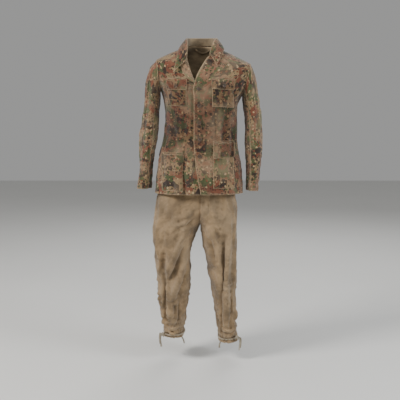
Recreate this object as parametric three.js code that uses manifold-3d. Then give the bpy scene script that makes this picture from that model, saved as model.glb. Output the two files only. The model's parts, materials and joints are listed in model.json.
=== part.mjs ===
// A worn field suit: a four-pocket camouflage tunic over plain drill trousers, in millimetres.
// +Z is up, -Y is the wearer's front and +X is the wearer's left. The origin is the middle of the
// neck at the height of the collar seam. Every cloth panel is a shell of its own, shaped by the
// wearer's body, with the space for the body left open inside.
import * as THREE from 'three';
import { mergeVertices } from 'three/addons/utils/BufferGeometryUtils.js';
import Module from 'manifold-3d';

const wasm = await Module();
wasm.setup();

// ---------------------------------------------------------------- driving dimensions

const CLOTH = 3;              // wall of a main panel
const LINING = 2;             // wall of a facing, hem or casing
const GAP = 0.6;              // air between two layers sewn face to face
const SLACK = 1.6;            // air between two layers that only lie on each other
const SEAM = 0.3;             // half the gap between panels that meet edge to edge
const ROUNDNESS = 2.5;        // superellipse power of the body's cross-section

const TUNIC_HEM = -664;
const BACK_NECK = 10;         // height of the back neckline
const SHOULDER_TIP = -62;     // heights of the armhole's top and bottom at the side seam
const ARMPIT = -207;
const SHOULDER_SLANT = -0.044;  // the wearer's left shoulder is the lower one
const SLANT_FADES = [-400, -200];

// Cross-sections of the tunic: height, middle across, half width, front, back.
const TUNIC = [
  [12, 10, 74, -48, 72],
  [0, 10, 80, -55, 76],
  [-30, 12, 147, -80, 93],
  [-62, 16, 214, -98, 104],
  [-75, 17, 236, -104, 107],
  [-100, 17, 243, -112, 112],
  [-150, 12, 226, -126, 118],
  [-205, 8, 188, -136, 120],
  [-251, 4, 173, -138, 117],
  [-302, 6, 165, -137, 112],
  [-354, 3, 167, -132, 106],
  [-407, -2, 170, -132, 108],
  [-464, -8, 181, -134, 112],
  [-553, -7, 195, -140, 120],
  [-609, -8, 203, -143, 125],
  [-664, -8, 206, -146, 129],
];

// Free edges of the two fronts: height, distance across. The left front laps over the right one.
const LEFT_EDGE = [
  [0, 86], [-18, 80], [-36, 52], [-46, 37], [-137, -16], [-191, -31], [-221, -28], [-380, -28],
  [-497, -24], [-578, -12], [-664, 1],
];
const RIGHT_EDGE = [
  [0, -66], [-20, -64], [-64, -55], [-84, -50], [-137, -30], [-160, -12], [-192, 22], [-664, 30],
];
const V_FOOT = -125;          // the open neck's V closes below this height
const FRONT_NECK = -3;        // height of the fronts' neck corners
const LAP_WIDTH = 24;         // the right front dips under the left one from here
const LAP_START = 6;          // to here, both measured from the left front's edge
const LAP_DEPTH = CLOTH + LINING + 2.4 * SLACK;
const FACING_WIDTH = 62;

// The right lapel: height, roll line, outer edge.
const LAPEL = [
  [-86, -51, -76], [-100, -46, -77], [-128, -35, -71], [-150, -26, -50], [-164, -20, -27],
];

// Collar: the seam to the neckline, the fold along the top and the edge of the turned-down leaf,
// each from the right end round the back to the left end.
const COLLAR_SEAM = [
  [-66, -109, -78], [-74, -88, -46], [-74, -52, -12], [-66, 6, 3], [-46, 52, 10], [-20, 68, 12],
  [10, 72, 12], [42, 68, 12], [70, 50, 8], [86, 4, 0], [90, -50, -14], [72, -78, -34],
  [42, -90, -45],
];
const COLLAR_FOLD = [
  [-60, -108, -66], [-56, -96, -22], [-56, -66, 20], [-58, -16, 41], [-44, 30, 46],
  [-18, 49, 48], [12, 54, 48], [42, 49, 48], [64, 28, 46], [74, -12, 42], [68, -48, 34],
  [56, -78, 10], [43, -94, -34],
];
const COLLAR_EDGE = [
  [-116, -116, -116], [-106, -104, -68], [-96, -64, -22], [-92, 8, -4], [-74, 62, -4],
  [-36, 86, -8], [12, 92, -10], [56, 88, -10], [92, 62, -6], [106, 6, -4], [104, -58, -20],
  [92, -92, -50], [70, -110, -84],
];
const COLLAR_PLY = 2.4;

// Sleeves, from the armhole down: outer edge (across, height), inner edge (across, height),
// half the fore-and-aft depth, and the middle fore and aft. The first row is the armhole's.
const LEFT_SLEEVE = [
  [247, -98, 199, -223, 75, -5],
  [259, -142, 201, -236, 75, -6],
  [269, -198, 204, -256, 74, -7],
  [281, -270, 211, -300, 73, -9],
  [288, -340, 215, -352, 71, -12],
  [290, -410, 214, -410, 69, -15],
  [290, -480, 217, -480, 66, -18],
  [285, -550, 220, -550, 62, -21],
  [275, -609, 221, -605, 59, -24],
  [267, -655, 221, -651, 57, -26],
];
const RIGHT_SLEEVE = [
  [-224, -80, -185, -208, 75, -5],
  [-244, -118, -188, -225, 75, -6],
  [-256, -180, -190, -253, 74, -7],
  [-262, -262, -194, -300, 73, -9],
  [-273, -340, -196, -350, 71, -12],
  [-281, -410, -201, -405, 69, -15],
  [-284, -480, -211, -480, 66, -18],
  [-286, -545, -219, -545, 62, -21],
  [-289, -600, -220, -600, 59, -24],
  [-290, -643, -221, -641, 57, -26],
];
const UNDERSLEEVE = 54;       // half the share of the round, in degrees, that the undersleeve takes
const CUFF_HEM = 30;

// Pockets: sides across, top and bottom, flap length below the hinge, in millimetres.
const POCKETS = {
  left_chest: { from: 54, to: 152, top: -142, bottom: -268, flap: 46 },
  right_chest: { from: -147, to: -60, top: -148, bottom: -270, flap: 50 },
  left_skirt: { from: 58, to: 150, top: -428, bottom: -636, flap: 72 },
  right_skirt: { from: -176, to: -82, top: -480, bottom: -648, flap: 78 },
};
const POCKET_PLY = 3;
const FLAP_PLY = 2.4;
const FLAP_RISE = 7;          // how far the flap's hinge lies above the pocket's mouth
const FLAP_OVERHANG = 2;
const FLAP_CORNER = 9;

const BUTTON_RADIUS = 9.5;
const POCKET_BUTTON_RADIUS = 8.5;
const BUTTON_PLY = 3;
const BUTTON_INSET = 25;      // from the left front's edge to the row of buttons
const BUTTON_HEIGHTS = [-190, -265, -340, -415, -490];
const THREAD_RADIUS = 2;

const CROTCH = 2;             // across, the plane where the two trouser halves meet
const WAIST_TOP = -495;
const WAISTBAND = 40;
const LEFT_HEM = -1372;
const RIGHT_HEM = -1350;

// Trouser halves: height, outer side, inner side, front, back. The inner side of each half runs
// past the middle plane above the crotch, and is cut off there.
const LEFT_HALF = [
  [-490, 164, -160, -104, 94],
  [-560, 168, -150, -110, 106],
  [-660, 169, -108, -118, 116],
  [-740, 173, -52, -122, 118],
  [-803, 176, -2, -122, 116],
  [-923, 177, 28, -114, 104],
  [-1097, 178, 60, -102, 92],
  [-1185, 177, 74, -96, 88],
  [-1298, 174, 85, -84, 78],
  [-1372, 173, 88, -72, 68],
];
const RIGHT_HALF = [
  [-490, -170, 160, -104, 94],
  [-560, -178, 150, -110, 106],
  [-660, -200, 108, -118, 116],
  [-740, -217, 50, -122, 118],
  [-803, -224, -1, -122, 116],
  [-923, -224, -48, -116, 106],
  [-1097, -209, -53, -104, 94],
  [-1185, -196, -62, -98, 90],
  [-1298, -177, -74, -84, 78],
  [-1350, -171, -75, -74, 70],
];
const HIP_AXIS = { y: -3, z: -700 };
const HIP_RADIUS = 129;       // the legs turn round the seat, which ends in this curve
const HIP_CLEARANCE = 0.9;
const HEM_CASING = 26;

const TAPE_WIDTH = 9;
const TAPE_PLY = 1.2;
const TAPE_RISE = 17;         // height of the ankle tape above the hem

// Ankle tapes' free ends, each a hand-laid route from the knot or the hem downward.
const TAPE_ENDS = {
  right_tape_end_front: [[-180, -53, -1333], [-185, -57, -1338], [-187, -60, -1346],
    [-187, -62, -1358], [-186, -63, -1370], [-184, -63, -1382], [-183, -63, -1394]],
  right_tape_end_back: [[-187, -30, -1337], [-190, -29, -1341], [-191, -29, -1347],
    [-192, -28, -1358], [-191, -27, -1374], [-189, -27, -1392]],
  left_tape_end_front: [[183, -52, -1357], [187, -54, -1363], [189, -54, -1372],
    [189, -54, -1385], [187, -55, -1399], [185, -55, -1414]],
  left_tape_end_back: [[188, -28, -1358], [192, -26, -1362], [194, -25, -1369],
    [195, -24, -1382], [194, -23, -1396], [192, -23, -1413]],
  right_inner_tape: [[-90, -28, -1330], [-90, -28, -1341], [-88, -29, -1352],
    [-82, -31, -1364], [-77, -33, -1376], [-75, -33, -1387]],
  left_inner_tape: [[103, -28, -1352], [103, -28, -1363], [101, -29, -1374], [95, -31, -1386],
    [92, -33, -1398], [92, -33, -1409]],
};

const COLOUR = {
  camouflage: new THREE.MeshStandardMaterial({ color: 0x7d6a50, roughness: 0.92, metalness: 0 }),
  lining: new THREE.MeshStandardMaterial({ color: 0x8d7a5d, roughness: 0.92, metalness: 0 }),
  drill: new THREE.MeshStandardMaterial({ color: 0x9a8160, roughness: 0.94, metalness: 0 }),
  tape: new THREE.MeshStandardMaterial({ color: 0xb8ad98, roughness: 0.9, metalness: 0 }),
  button: new THREE.MeshStandardMaterial({ color: 0x6a6558, roughness: 0.5, metalness: 0 }),
};

// ---------------------------------------------------------------- small helpers

const suit = new THREE.Group();
const SIDE = { left: 1, right: -1 };
const degrees = THREE.MathUtils.degToRad;
const power = (value, exponent) => Math.sign(value) * Math.abs(value) ** exponent;

// Reads a table whose first column falls from row to row, with a smooth curve through the rows.
function station(table, height) {
  const last = table.length - 1;
  let row = 0;
  while (row < last - 1 && height < table[row + 1][0]) {
    row += 1;
  }
  const span = table[row + 1][0] - table[row][0];
  const t = Math.min(Math.max((height - table[row][0]) / span, 0), 1);
  const slope = (at, column) => {
    const before = Math.max(at - 1, 0);
    const after = Math.min(at + 1, last);
    return (table[after][column] - table[before][column]) / (table[after][0] - table[before][0]);
  };
  return table[row].slice(1).map((_, index) => {
    const column = index + 1;
    const start = table[row][column];
    const end = table[row + 1][column];
    return (2 * t ** 3 - 3 * t ** 2 + 1) * start + (t ** 3 - 2 * t ** 2 + t) * span * slope(row, column)
      + (3 * t ** 2 - 2 * t ** 3) * end + (t ** 3 - t ** 2) * span * slope(row + 1, column);
  });
}

// A geometry with one vertex per corner point, wound so that its faces point out.
function tidy(geometry) {
  geometry.deleteAttribute('normal');
  geometry.deleteAttribute('uv');
  const merged = mergeVertices(geometry, 1e-4);
  const index = merged.index.array;
  const corner = [0, 1, 2].map(() => new THREE.Vector3());
  let volume = 0;
  for (let i = 0; i < index.length; i += 3) {
    corner.forEach((point, k) => point.fromBufferAttribute(merged.attributes.position, index[i + k]));
    volume += corner[0].dot(corner[1].cross(corner[2]));
  }
  if (volume < 0) {
    for (let i = 0; i < index.length; i += 3) {
      [index[i], index[i + 1]] = [index[i + 1], index[i]];
    }
  }
  return merged;
}

// Bends a box of unit size: place(u, v, w) gives the point for each corner, all from 0 to 1.
function bend(columns, rows, place) {
  const geometry = new THREE.BoxGeometry(1, 1, 1, columns, rows, 1);
  const position = geometry.attributes.position;
  for (let i = 0; i < position.count; i += 1) {
    const point = place(position.getX(i) + 0.5, position.getY(i) + 0.5, position.getZ(i) + 0.5);
    position.setXYZ(i, point.x, point.y, point.z);
  }
  return tidy(geometry);
}

function toSolid(geometry) {
  return new wasm.Manifold(new wasm.Mesh({
    numProp: 3,
    vertProperties: Float32Array.from(geometry.attributes.position.array),
    triVerts: Uint32Array.from(geometry.index.array),
  }));
}

function fromSolid(solid) {
  const mesh = solid.getMesh();
  const geometry = new THREE.BufferGeometry();
  geometry.setAttribute('position', new THREE.BufferAttribute(Float32Array.from(mesh.vertProperties), 3));
  geometry.setIndex(Array.from(mesh.triVerts));
  return geometry;
}

const cut = (geometry, tools) => fromSolid(
  tools.reduce((solid, tool) => solid.subtract(toSolid(tool)), toSolid(geometry)),
);
const common = (geometry, tool) => fromSolid(toSolid(geometry).intersect(toSolid(tool)));

function add(name, geometry, material, matrix = null) {
  const mesh = new THREE.Mesh(geometry, material);
  mesh.name = name;
  if (matrix) {
    matrix.decompose(mesh.position, mesh.quaternion, mesh.scale);
  }
  suit.add(mesh);
}

// A block from the lowest to the highest corner.
function block(low, high) {
  const geometry = new THREE.BoxGeometry(high[0] - low[0], high[1] - low[1], high[2] - low[2]);
  geometry.translate((low[0] + high[0]) / 2, (low[1] + high[1]) / 2, (low[2] + high[2]) / 2);
  return tidy(geometry);
}

// The frame whose Z is the given direction, at the given place, with X as near level as it can be.
function frameAlong(place, direction) {
  const across = new THREE.Vector3(0, 0, 1).cross(direction).normalize();
  const up = direction.clone().cross(across);
  return new THREE.Matrix4().makeBasis(across, up, direction).setPosition(place);
}

// ---------------------------------------------------------------- the tunic's body surface

// Point on a closed cross-section; the angle is 0 at the front and 90 degrees at the wearer's left.
function roundPoint(middle, halfWidth, front, back, angle, height) {
  const depth = (back - front) / 2;
  return new THREE.Vector3(
    middle + halfWidth * power(Math.sin(angle), 2 / ROUNDNESS),
    (front + back) / 2 - depth * power(Math.cos(angle), 2 / ROUNDNESS),
    height,
  );
}

function tunicSkin(angle, height) {
  const [middle, halfWidth, front, back] = station(TUNIC, height);
  const point = roundPoint(middle, halfWidth, front, back, angle, height);
  const fade = THREE.MathUtils.smoothstep(height, ...SLANT_FADES);
  point.z += SHOULDER_SLANT * point.x * fade;
  return point;
}

function normalAt(skin, angle, height) {
  const around = skin(angle + 0.02, height).sub(skin(angle - 0.02, height));
  const along = skin(angle, height + 1).sub(skin(angle, height - 1));
  return around.cross(along).normalize();
}

function tunicPoint(angle, height, lift = 0) {
  return tunicSkin(angle, height).addScaledVector(normalAt(tunicSkin, angle, height), lift);
}

// The angle of the front point that lies this far across.
function frontAngle(across, height) {
  const [middle, halfWidth] = station(TUNIC, height);
  const share = Math.min(Math.max((across - middle) / halfWidth, -1), 1);
  return Math.asin(power(share, ROUNDNESS / 2));
}

const frontPoint = (across, height, lift) => tunicPoint(frontAngle(across, height), height, lift);

// Angle that leaves the seam's half gap at a side seam.
const seamAngle = (height) => SEAM / station(TUNIC, height)[1] * 6;

const ROWS = 13;
const rowHeight = (v, top) => top + (TUNIC_HEM - top) * v ** 1.35;

// The armhole lies in a plane through the shoulder tip and the armpit.
function armhole(side) {
  const tip = tunicSkin(SIDE[side] * Math.PI / 2, SHOULDER_TIP);
  const pit = tunicSkin(SIDE[side] * Math.PI / 2, ARMPIT);
  const up = tip.clone().sub(pit).normalize();
  const out = new THREE.Vector3(0, SIDE[side], 0).cross(up).normalize();
  return { tip, pit, up, out };
}

// Everything beyond the armhole's plane, from just under the armpit to over the shoulder.
function armholeCutter(side) {
  const { pit, up, out } = armhole(side);
  const reach = { across: 300, outward: 120, upward: 280, below: 25 };
  const geometry = new THREE.BoxGeometry(reach.across, reach.upward, reach.outward);
  geometry.translate(0, reach.upward / 2 - reach.below, reach.outward / 2);
  const forward = up.clone().cross(out);
  geometry.applyMatrix4(new THREE.Matrix4().makeBasis(forward, up, out).setPosition(pit));
  return tidy(geometry);
}

const armholeCutters = [armholeCutter('left'), armholeCutter('right')];

// ---------------------------------------------------------------- tunic panels

function backPanel() {
  const panel = bend(18, ROWS, (u, v, w) => {
    const height = rowHeight(v, BACK_NECK);
    const seam = Math.PI / 2 + seamAngle(height);
    return tunicPoint(seam + (2 * Math.PI - 2 * seam) * u, height, (w - 1) * CLOTH);
  });
  add('back_panel', cut(panel, armholeCutters), COLOUR.camouflage);
}

// The edge that the right front dips under: from the foot of the neck's V down it is already low.
function lapEdge(height) {
  const [left] = station(LEFT_EDGE, height);
  const [right] = station(RIGHT_EDGE, height);
  return height < V_FOOT ? Math.min(left, right + LAP_START) : left;
}

// How far the right front lies below the skin, to pass under the left front and its facing.
function underlap(across, height) {
  const edge = lapEdge(height);
  return LAP_DEPTH * THREE.MathUtils.smoothstep(across, edge - LAP_WIDTH, edge - LAP_START);
}

// Across, at the right front's free edge and where its dip under the left front ends and starts.
function lapColumns(height) {
  const left = lapEdge(height);
  const [edge] = station(RIGHT_EDGE, height);
  return [edge, Math.min(left - LAP_START, edge - 7), Math.min(left - LAP_WIDTH, edge - 14)];
}

// A threaded place for each front button: the point on the left front and its outward direction.
const buttonSpots = BUTTON_HEIGHTS.map((height) => {
  const angle = frontAngle(station(LEFT_EDGE, height)[0] + BUTTON_INSET, height);
  return { place: tunicPoint(angle, height), direction: normalAt(tunicSkin, angle, height) };
});

function buttonhole({ place, direction }) {
  const geometry = new THREE.CylinderGeometry(THREAD_RADIUS + 0.6, THREAD_RADIUS + 0.6, 30, 6);
  geometry.rotateX(Math.PI / 2);
  geometry.applyMatrix4(frameAlong(place, direction));
  return tidy(geometry);
}

function fronts() {
  const left = bend(11, ROWS, (u, v, w) => {
    const height = rowHeight(v, FRONT_NECK);
    const edge = frontAngle(station(LEFT_EDGE, height)[0], height);
    const seam = Math.PI / 2 - seamAngle(height);
    return tunicPoint(edge + (seam - edge) * u, height, (w - 1) * CLOTH);
  });
  const columns = { plain: 8, dip: 1, lap: 1 };
  const all = columns.plain + columns.dip + columns.lap;
  const right = bend(all, ROWS, (u, v, w) => {
    const height = rowHeight(v, FRONT_NECK);
    const [edge, dipEnd, dipStart] = lapColumns(height).map((across) => frontAngle(across, height));
    const seam = -Math.PI / 2 + seamAngle(height);
    const column = Math.round(u * all);
    const angle = column <= columns.plain
      ? seam + (dipStart - seam) * column / columns.plain
      : [dipEnd, edge][column - columns.plain - 1];
    const across = tunicSkin(angle, height).x;
    return tunicPoint(angle, height, (w - 1) * CLOTH - underlap(across, height));
  });
  add('left_front', cut(left, [...armholeCutters, ...buttonSpots.map(buttonhole)]), COLOUR.camouflage);
  add('right_front', cut(right, armholeCutters), COLOUR.camouflage);
}

function facings() {
  const rows = (v) => rowHeight((1 + (ROWS - 1) * v) / ROWS - 0.002 * v, FRONT_NECK);
  const left = bend(3, ROWS - 1, (u, v, w) => {
    const height = rows(v);
    const across = station(LEFT_EDGE, height)[0] + 1 + FACING_WIDTH * u;
    return frontPoint(across, height, (w - 1) * LINING - CLOTH - SLACK);
  });
  const right = bend(3, ROWS - 1, (u, v, w) => {
    const height = rows(v);
    const [edge, dipEnd, dipStart] = lapColumns(height);
    const inner = Math.min(edge - FACING_WIDTH, dipStart - 8);
    const across = [edge - 1, dipEnd, dipStart, inner][Math.round(3 * u)];
    return frontPoint(across, height, (w - 1) * LINING - CLOTH - SLACK - underlap(across, height));
  });
  add('left_facing', cut(left, buttonSpots.map(buttonhole)), COLOUR.lining);
  add('right_facing', right, COLOUR.lining);
}

function lapel() {
  const [top, bottom] = [LAPEL[0][0], LAPEL.at(-1)[0]];
  add('right_lapel', bend(3, 8, (u, v, w) => {
    const height = top + (bottom - top) * v;
    const [roll, outer] = station(LAPEL, height);
    return frontPoint(roll + (outer - roll) * u, height, GAP + w * LINING);
  }), COLOUR.lining);
}

// ---------------------------------------------------------------- collar

const curve = (points) => new THREE.CatmullRomCurve3(points.map((point) => new THREE.Vector3(...point)));
const collarSeam = curve(COLLAR_SEAM);
const collarFold = curve(COLLAR_FOLD);
const collarEdge = curve(COLLAR_EDGE);

// Moves a point out to at least this height above the tunic's skin.
function clearOfTunic(point, lift) {
  const height = point.z - SHOULDER_SLANT * point.x;
  const [middle, halfWidth, front, back] = station(TUNIC, height);
  const across = (point.x - middle) / halfWidth;
  const along = ((front + back) / 2 - point.y) / ((back - front) / 2);
  const angle = Math.atan2(power(across, ROUNDNESS / 2), power(along, ROUNDNESS / 2));
  const rest = tunicPoint(angle, height, lift);
  const outward = normalAt(tunicSkin, angle, height);
  return rest.clone().sub(point).dot(outward) > 0 ? rest : point;
}

function collar() {
  const columns = 26;
  const neck = new THREE.Vector2(10, -10);
  const outward = (point) => new THREE.Vector3(point.x - neck.x, point.y - neck.y, 0).normalize();
  add('collar_stand', bend(columns, 2, (u, v, w) => {
    const low = collarSeam.getPoint(u);
    const high = collarFold.getPoint(u);
    const point = low.lerp(high, 0.12 + 0.84 * v);
    return point.addScaledVector(outward(point), (w - 1) * COLLAR_PLY - 0.3);
  }), COLOUR.lining);
  add('collar_leaf', bend(columns, 4, (u, v, w) => {
    const point = collarFold.getPoint(u).lerp(collarEdge.getPoint(u), v);
    const belly = 5 * Math.sin(Math.PI * v);
    point.addScaledVector(outward(point), 0.3 + belly + w * COLLAR_PLY);
    return clearOfTunic(point, 3.6 + w * COLLAR_PLY);
  }), COLOUR.camouflage);
}

// A short strap inside the back neck, for hanging the tunic up.
function hangerLoop() {
  const loop = { middle: 12, half: 34, height: 2, drop: 13, width: 7, ply: 1.6, clear: 1.2 };
  add('hanger_loop', bend(10, 1, (u, v, w) => {
    const across = loop.middle + loop.half * (2 * u - 1);
    const height = loop.height - loop.drop * Math.sin(Math.PI * u) - loop.width * v;
    const angle = Math.PI - frontAngle(across, height);
    const slack = 3 * Math.sin(Math.PI * u);
    return tunicPoint(angle, height, -CLOTH - loop.clear - slack - (1 - w) * loop.ply);
  }), COLOUR.lining);
}

// ---------------------------------------------------------------- sleeves

// A sleeve's rows with the armhole's own plane as the first.
function sleeveRows(side) {
  const { tip, pit, out } = armhole(side);
  const table = side === 'left' ? LEFT_SLEEVE : RIGHT_SLEEVE;
  const start = [tip, pit].map((point) => point.clone().addScaledVector(out, 0.5));
  const rows = [[start[0].x, start[0].z, start[1].x, start[1].z, 75, -5], ...table];
  return rows.map((row, index) => [-index, ...row]);
}

// Point on a sleeve; 0 degrees is outermost, 90 the front, 180 against the body.
function sleevePoint(rows, angle, along, depthIn) {
  const [outX, outZ, inX, inZ, halfDepth, middleY] = station(rows, -along * (rows.length - 1));
  const half = new THREE.Vector3((outX - inX) / 2, 0, (outZ - inZ) / 2);
  const shrink = (half.length() - depthIn) / half.length();
  return new THREE.Vector3(
    (outX + inX) / 2 + half.x * shrink * power(Math.cos(angle), 2 / 2.2),
    middleY - (halfDepth - depthIn) * power(Math.sin(angle), 2 / 2.2),
    (outZ + inZ) / 2 + half.z * shrink * power(Math.cos(angle), 2 / 2.2),
  );
}

function sleeve(side) {
  const rows = sleeveRows(side);
  const gap = degrees(0.3);
  const part = (name, from, to, columns) => {
    add(name, bend(columns, 10, (u, v, w) => (
      sleevePoint(rows, from + gap + (to - from - 2 * gap) * u, v, (1 - w) * CLOTH)
    )), COLOUR.camouflage);
  };
  const seam = degrees(180 - UNDERSLEEVE);
  part(`${side}_topsleeve`, -seam, seam, 10);
  part(`${side}_undersleeve`, seam, 2 * Math.PI - seam, 5);
  const length = 560;
  add(`${side}_cuff_hem`, bend(16, 1, (u, v, w) => (
    sleevePoint(rows, degrees(1 + 358 * u), 1 - (0.5 + (CUFF_HEM - 0.5) * v) / length,
      CLOTH + SLACK + (1 - w) * LINING)
  )), COLOUR.lining);
}

// ---------------------------------------------------------------- pockets, flaps and buttons

// A flat frame over a pocket's place: X across, Y up the pocket, Z outward, clear of the skin.
function pocketFrame({ from, to, top, bottom }) {
  const middle = (from + to) / 2;
  const across = frontPoint(to, (top + bottom) / 2).sub(frontPoint(from, (top + bottom) / 2)).normalize();
  const rise = frontPoint(middle, top).sub(frontPoint(middle, bottom));
  const up = rise.addScaledVector(across, -rise.dot(across)).normalize();
  const out = across.clone().cross(up);
  const origin = frontPoint(middle, top);
  let proud = 0;
  for (let i = 0; i <= 8; i += 1) {
    for (let j = 0; j <= 8; j += 1) {
      const spot = frontPoint(from + (to - from) * i / 8, top + (bottom - top) * j / 8);
      proud = Math.max(proud, spot.sub(origin).dot(out));
    }
  }
  origin.addScaledVector(out, proud + SLACK + POCKET_PLY);
  return { origin, across, up, out, matrix: new THREE.Matrix4().makeBasis(across, up, out).setPosition(origin) };
}

function pocket(name, plan) {
  const { origin, out } = pocketFrame(plan);
  add(`${name}_pocket`, bend(8, 7, (u, v, w) => {
    const point = frontPoint(plan.from + (plan.to - plan.from) * u,
      plan.bottom + (plan.top - plan.bottom) * v, SLACK);
    const toFace = origin.clone().sub(point).dot(out);
    return point.addScaledVector(out, w * toFace);
  }), COLOUR.camouflage);
}

const flapButtonDrop = (plan) => FLAP_RISE + plan.flap - 17;

function flapOutline(halfWidth, length) {
  const outline = new THREE.Shape();
  outline.moveTo(halfWidth, 0);
  outline.lineTo(halfWidth, FLAP_CORNER - length);
  outline.absarc(halfWidth - FLAP_CORNER, FLAP_CORNER - length, FLAP_CORNER, 0, -Math.PI / 2, true);
  outline.absarc(FLAP_CORNER - halfWidth, FLAP_CORNER - length, FLAP_CORNER, -Math.PI / 2, -Math.PI, true);
  outline.lineTo(-halfWidth, 0);
  return outline;
}

function flap(name, plan) {
  const { matrix } = pocketFrame(plan);
  const halfWidth = (plan.to - plan.from) / 2 + FLAP_OVERHANG;
  const outline = flapOutline(halfWidth, FLAP_RISE + plan.flap);
  const hole = new THREE.Path();
  hole.absarc(0, -flapButtonDrop(plan), POCKET_BUTTON_RADIUS + 1, 0, 2 * Math.PI);
  outline.holes.push(hole);
  const geometry = new THREE.ExtrudeGeometry(outline, { depth: FLAP_PLY, bevelEnabled: false, curveSegments: 5 });
  geometry.translate(0, FLAP_RISE, GAP);
  add(`${name}_flap`, tidy(geometry), COLOUR.camouflage, matrix);
}

// A sewn-on button: its thread stands on z = 0 and the disc starts at the given height.
function buttonShape(radius, lift) {
  const top = lift + BUTTON_PLY;
  const profile = [
    [0, 0], [THREAD_RADIUS, 0], [THREAD_RADIUS, lift], [radius, lift + 0.8],
    [radius - 0.8, top], [radius - 3, top - 0.8], [0, top - 0.8],
  ];
  const geometry = new THREE.LatheGeometry(profile.map((point) => new THREE.Vector2(...point)), 10);
  geometry.rotateX(Math.PI / 2);
  return tidy(geometry);
}

function pocketButton(name, plan) {
  const { origin, up, out } = pocketFrame(plan);
  const place = origin.clone().addScaledVector(up, FLAP_RISE - flapButtonDrop(plan)).addScaledVector(out, 0.3);
  add(`${name}_button`, buttonShape(POCKET_BUTTON_RADIUS, FLAP_PLY + 0.7), COLOUR.button,
    frameAlong(place, out));
}

function frontButtons() {
  buttonSpots.forEach(({ place, direction }, index) => {
    const root = LAP_DEPTH - 0.5;
    const foot = place.clone().addScaledVector(direction, -root);
    add(`front_button_${index + 1}`, buttonShape(BUTTON_RADIUS, root + 0.6), COLOUR.button,
      frameAlong(foot, direction));
  });
}

// ---------------------------------------------------------------- trousers

const HALVES = { left: { table: LEFT_HALF, hem: LEFT_HEM }, right: { table: RIGHT_HALF, hem: RIGHT_HEM } };

function halfSkin(side) {
  return (angle, height) => {
    const [outer, inner, front, back] = station(HALVES[side].table, height);
    return roundPoint((outer + inner) / 2, Math.abs(outer - inner) / 2, front, back, angle, height);
  };
}

function halfPoint(side, angle, height, lift) {
  const skin = halfSkin(side);
  return skin(angle, height).addScaledVector(normalAt(skin, angle, height), lift);
}

const FAR = 400;
const hipCylinder = (radius) => {
  const geometry = new THREE.CylinderGeometry(radius, radius, 2 * FAR, 40);
  geometry.rotateZ(Math.PI / 2);
  geometry.translate(0, HIP_AXIS.y, HIP_AXIS.z);
  return tidy(geometry);
};

// The half space on one side of the crotch plane, between two heights.
function halfSpace(side, low, high) {
  return side === 'left'
    ? block([CROTCH + SEAM, -FAR, low], [FAR, FAR, high])
    : block([-FAR, -FAR, low], [CROTCH - SEAM, FAR, high]);
}

function trouserHalf(side) {
  const { hem } = HALVES[side];
  const top = WAIST_TOP - WAISTBAND - 2 * SEAM;
  const quarter = { front: [-Math.PI / 2, Math.PI / 2], back: [Math.PI / 2, 3 * Math.PI / 2] };
  for (const [face, [from, to]] of Object.entries(quarter)) {
    const gap = degrees(0.35);
    const panel = bend(9, 12, (u, v, w) => halfPoint(side, from + gap + (to - from - 2 * gap) * u,
      top + (hem - 2 - top) * v, (w - 1) * CLOTH));
    const half = common(panel, halfSpace(side, hem, top + 50));
    const below = halfSpace(side, hem - 10, HIP_AXIS.z);
    const beyondSeat = cut(below, [hipCylinder(HIP_RADIUS - HIP_CLEARANCE)]);
    add(`${side}_seat_${face}`, cut(half, [beyondSeat]), COLOUR.drill);
    add(`${side}_leg_${face}`, cut(common(half, below), [hipCylinder(HIP_RADIUS)]), COLOUR.drill);
  }
  add(`${side}_hem_casing`, bend(18, 1, (u, v, w) => halfPoint(side, degrees(1 + 358 * u),
    hem + 1 + (HEM_CASING - 1) * v, -CLOTH - SLACK - (1 - w) * LINING)), COLOUR.drill);
}

function waistband() {
  const skin = (angle, height) => {
    const [outerLeft, , front, back] = station(LEFT_HALF, height);
    const [outerRight] = station(RIGHT_HALF, height);
    return roundPoint((outerLeft + outerRight) / 2, (outerLeft - outerRight) / 2, front, back, angle, height);
  };
  const fly = degrees(0.6);
  add('waistband', bend(26, 1, (u, v, w) => {
    const height = WAIST_TOP - WAISTBAND * v;
    const angle = fly + (2 * Math.PI - 2 * fly) * u;
    return skin(angle, height).addScaledVector(normalAt(skin, angle, height), (w - 1) * CLOTH);
  }), COLOUR.drill);
  const spot = degrees(-6);
  const height = WAIST_TOP - WAISTBAND / 2;
  const direction = normalAt(skin, spot, height);
  const place = skin(spot, height).addScaledVector(direction, 0.4);
  add('waist_button', buttonShape(POCKET_BUTTON_RADIUS, 1), COLOUR.button, frameAlong(place, direction));
}

// ---------------------------------------------------------------- ankle ties

function ankleTape(side) {
  const { hem } = HALVES[side];
  const height = hem + TAPE_RISE;
  add(`${side}_ankle_tape`, bend(26, 1, (u, v, w) => halfPoint(side, degrees(1 + 358 * u),
    height + TAPE_WIDTH * (v - 0.5), SLACK + w * TAPE_PLY)), COLOUR.tape);
  const outside = SIDE[side];
  const angle = outside * degrees(62);
  const heart = halfPoint(side, angle, height, SLACK + TAPE_PLY + 5);
  const bow = new THREE.SphereGeometry(1, 9, 6);
  bow.scale(4, 15, 8);
  bow.rotateZ(outside * degrees(-28));
  bow.translate(heart.x, heart.y, heart.z + 2);
  add(`${side}_ankle_bow`, tidy(bow), COLOUR.tape);
}

function tapeEnd(name, route) {
  const spine = curve(route);
  const section = new THREE.Shape();
  const [halfWidth, halfPly] = [TAPE_WIDTH / 2, TAPE_PLY / 2];
  section.moveTo(-halfPly, -halfWidth);
  section.lineTo(halfPly, -halfWidth);
  section.lineTo(halfPly, halfWidth);
  section.lineTo(-halfPly, halfWidth);
  add(name, tidy(new THREE.ExtrudeGeometry(section, { steps: 8, extrudePath: spine })), COLOUR.tape);
}

// ---------------------------------------------------------------- assembly

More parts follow.
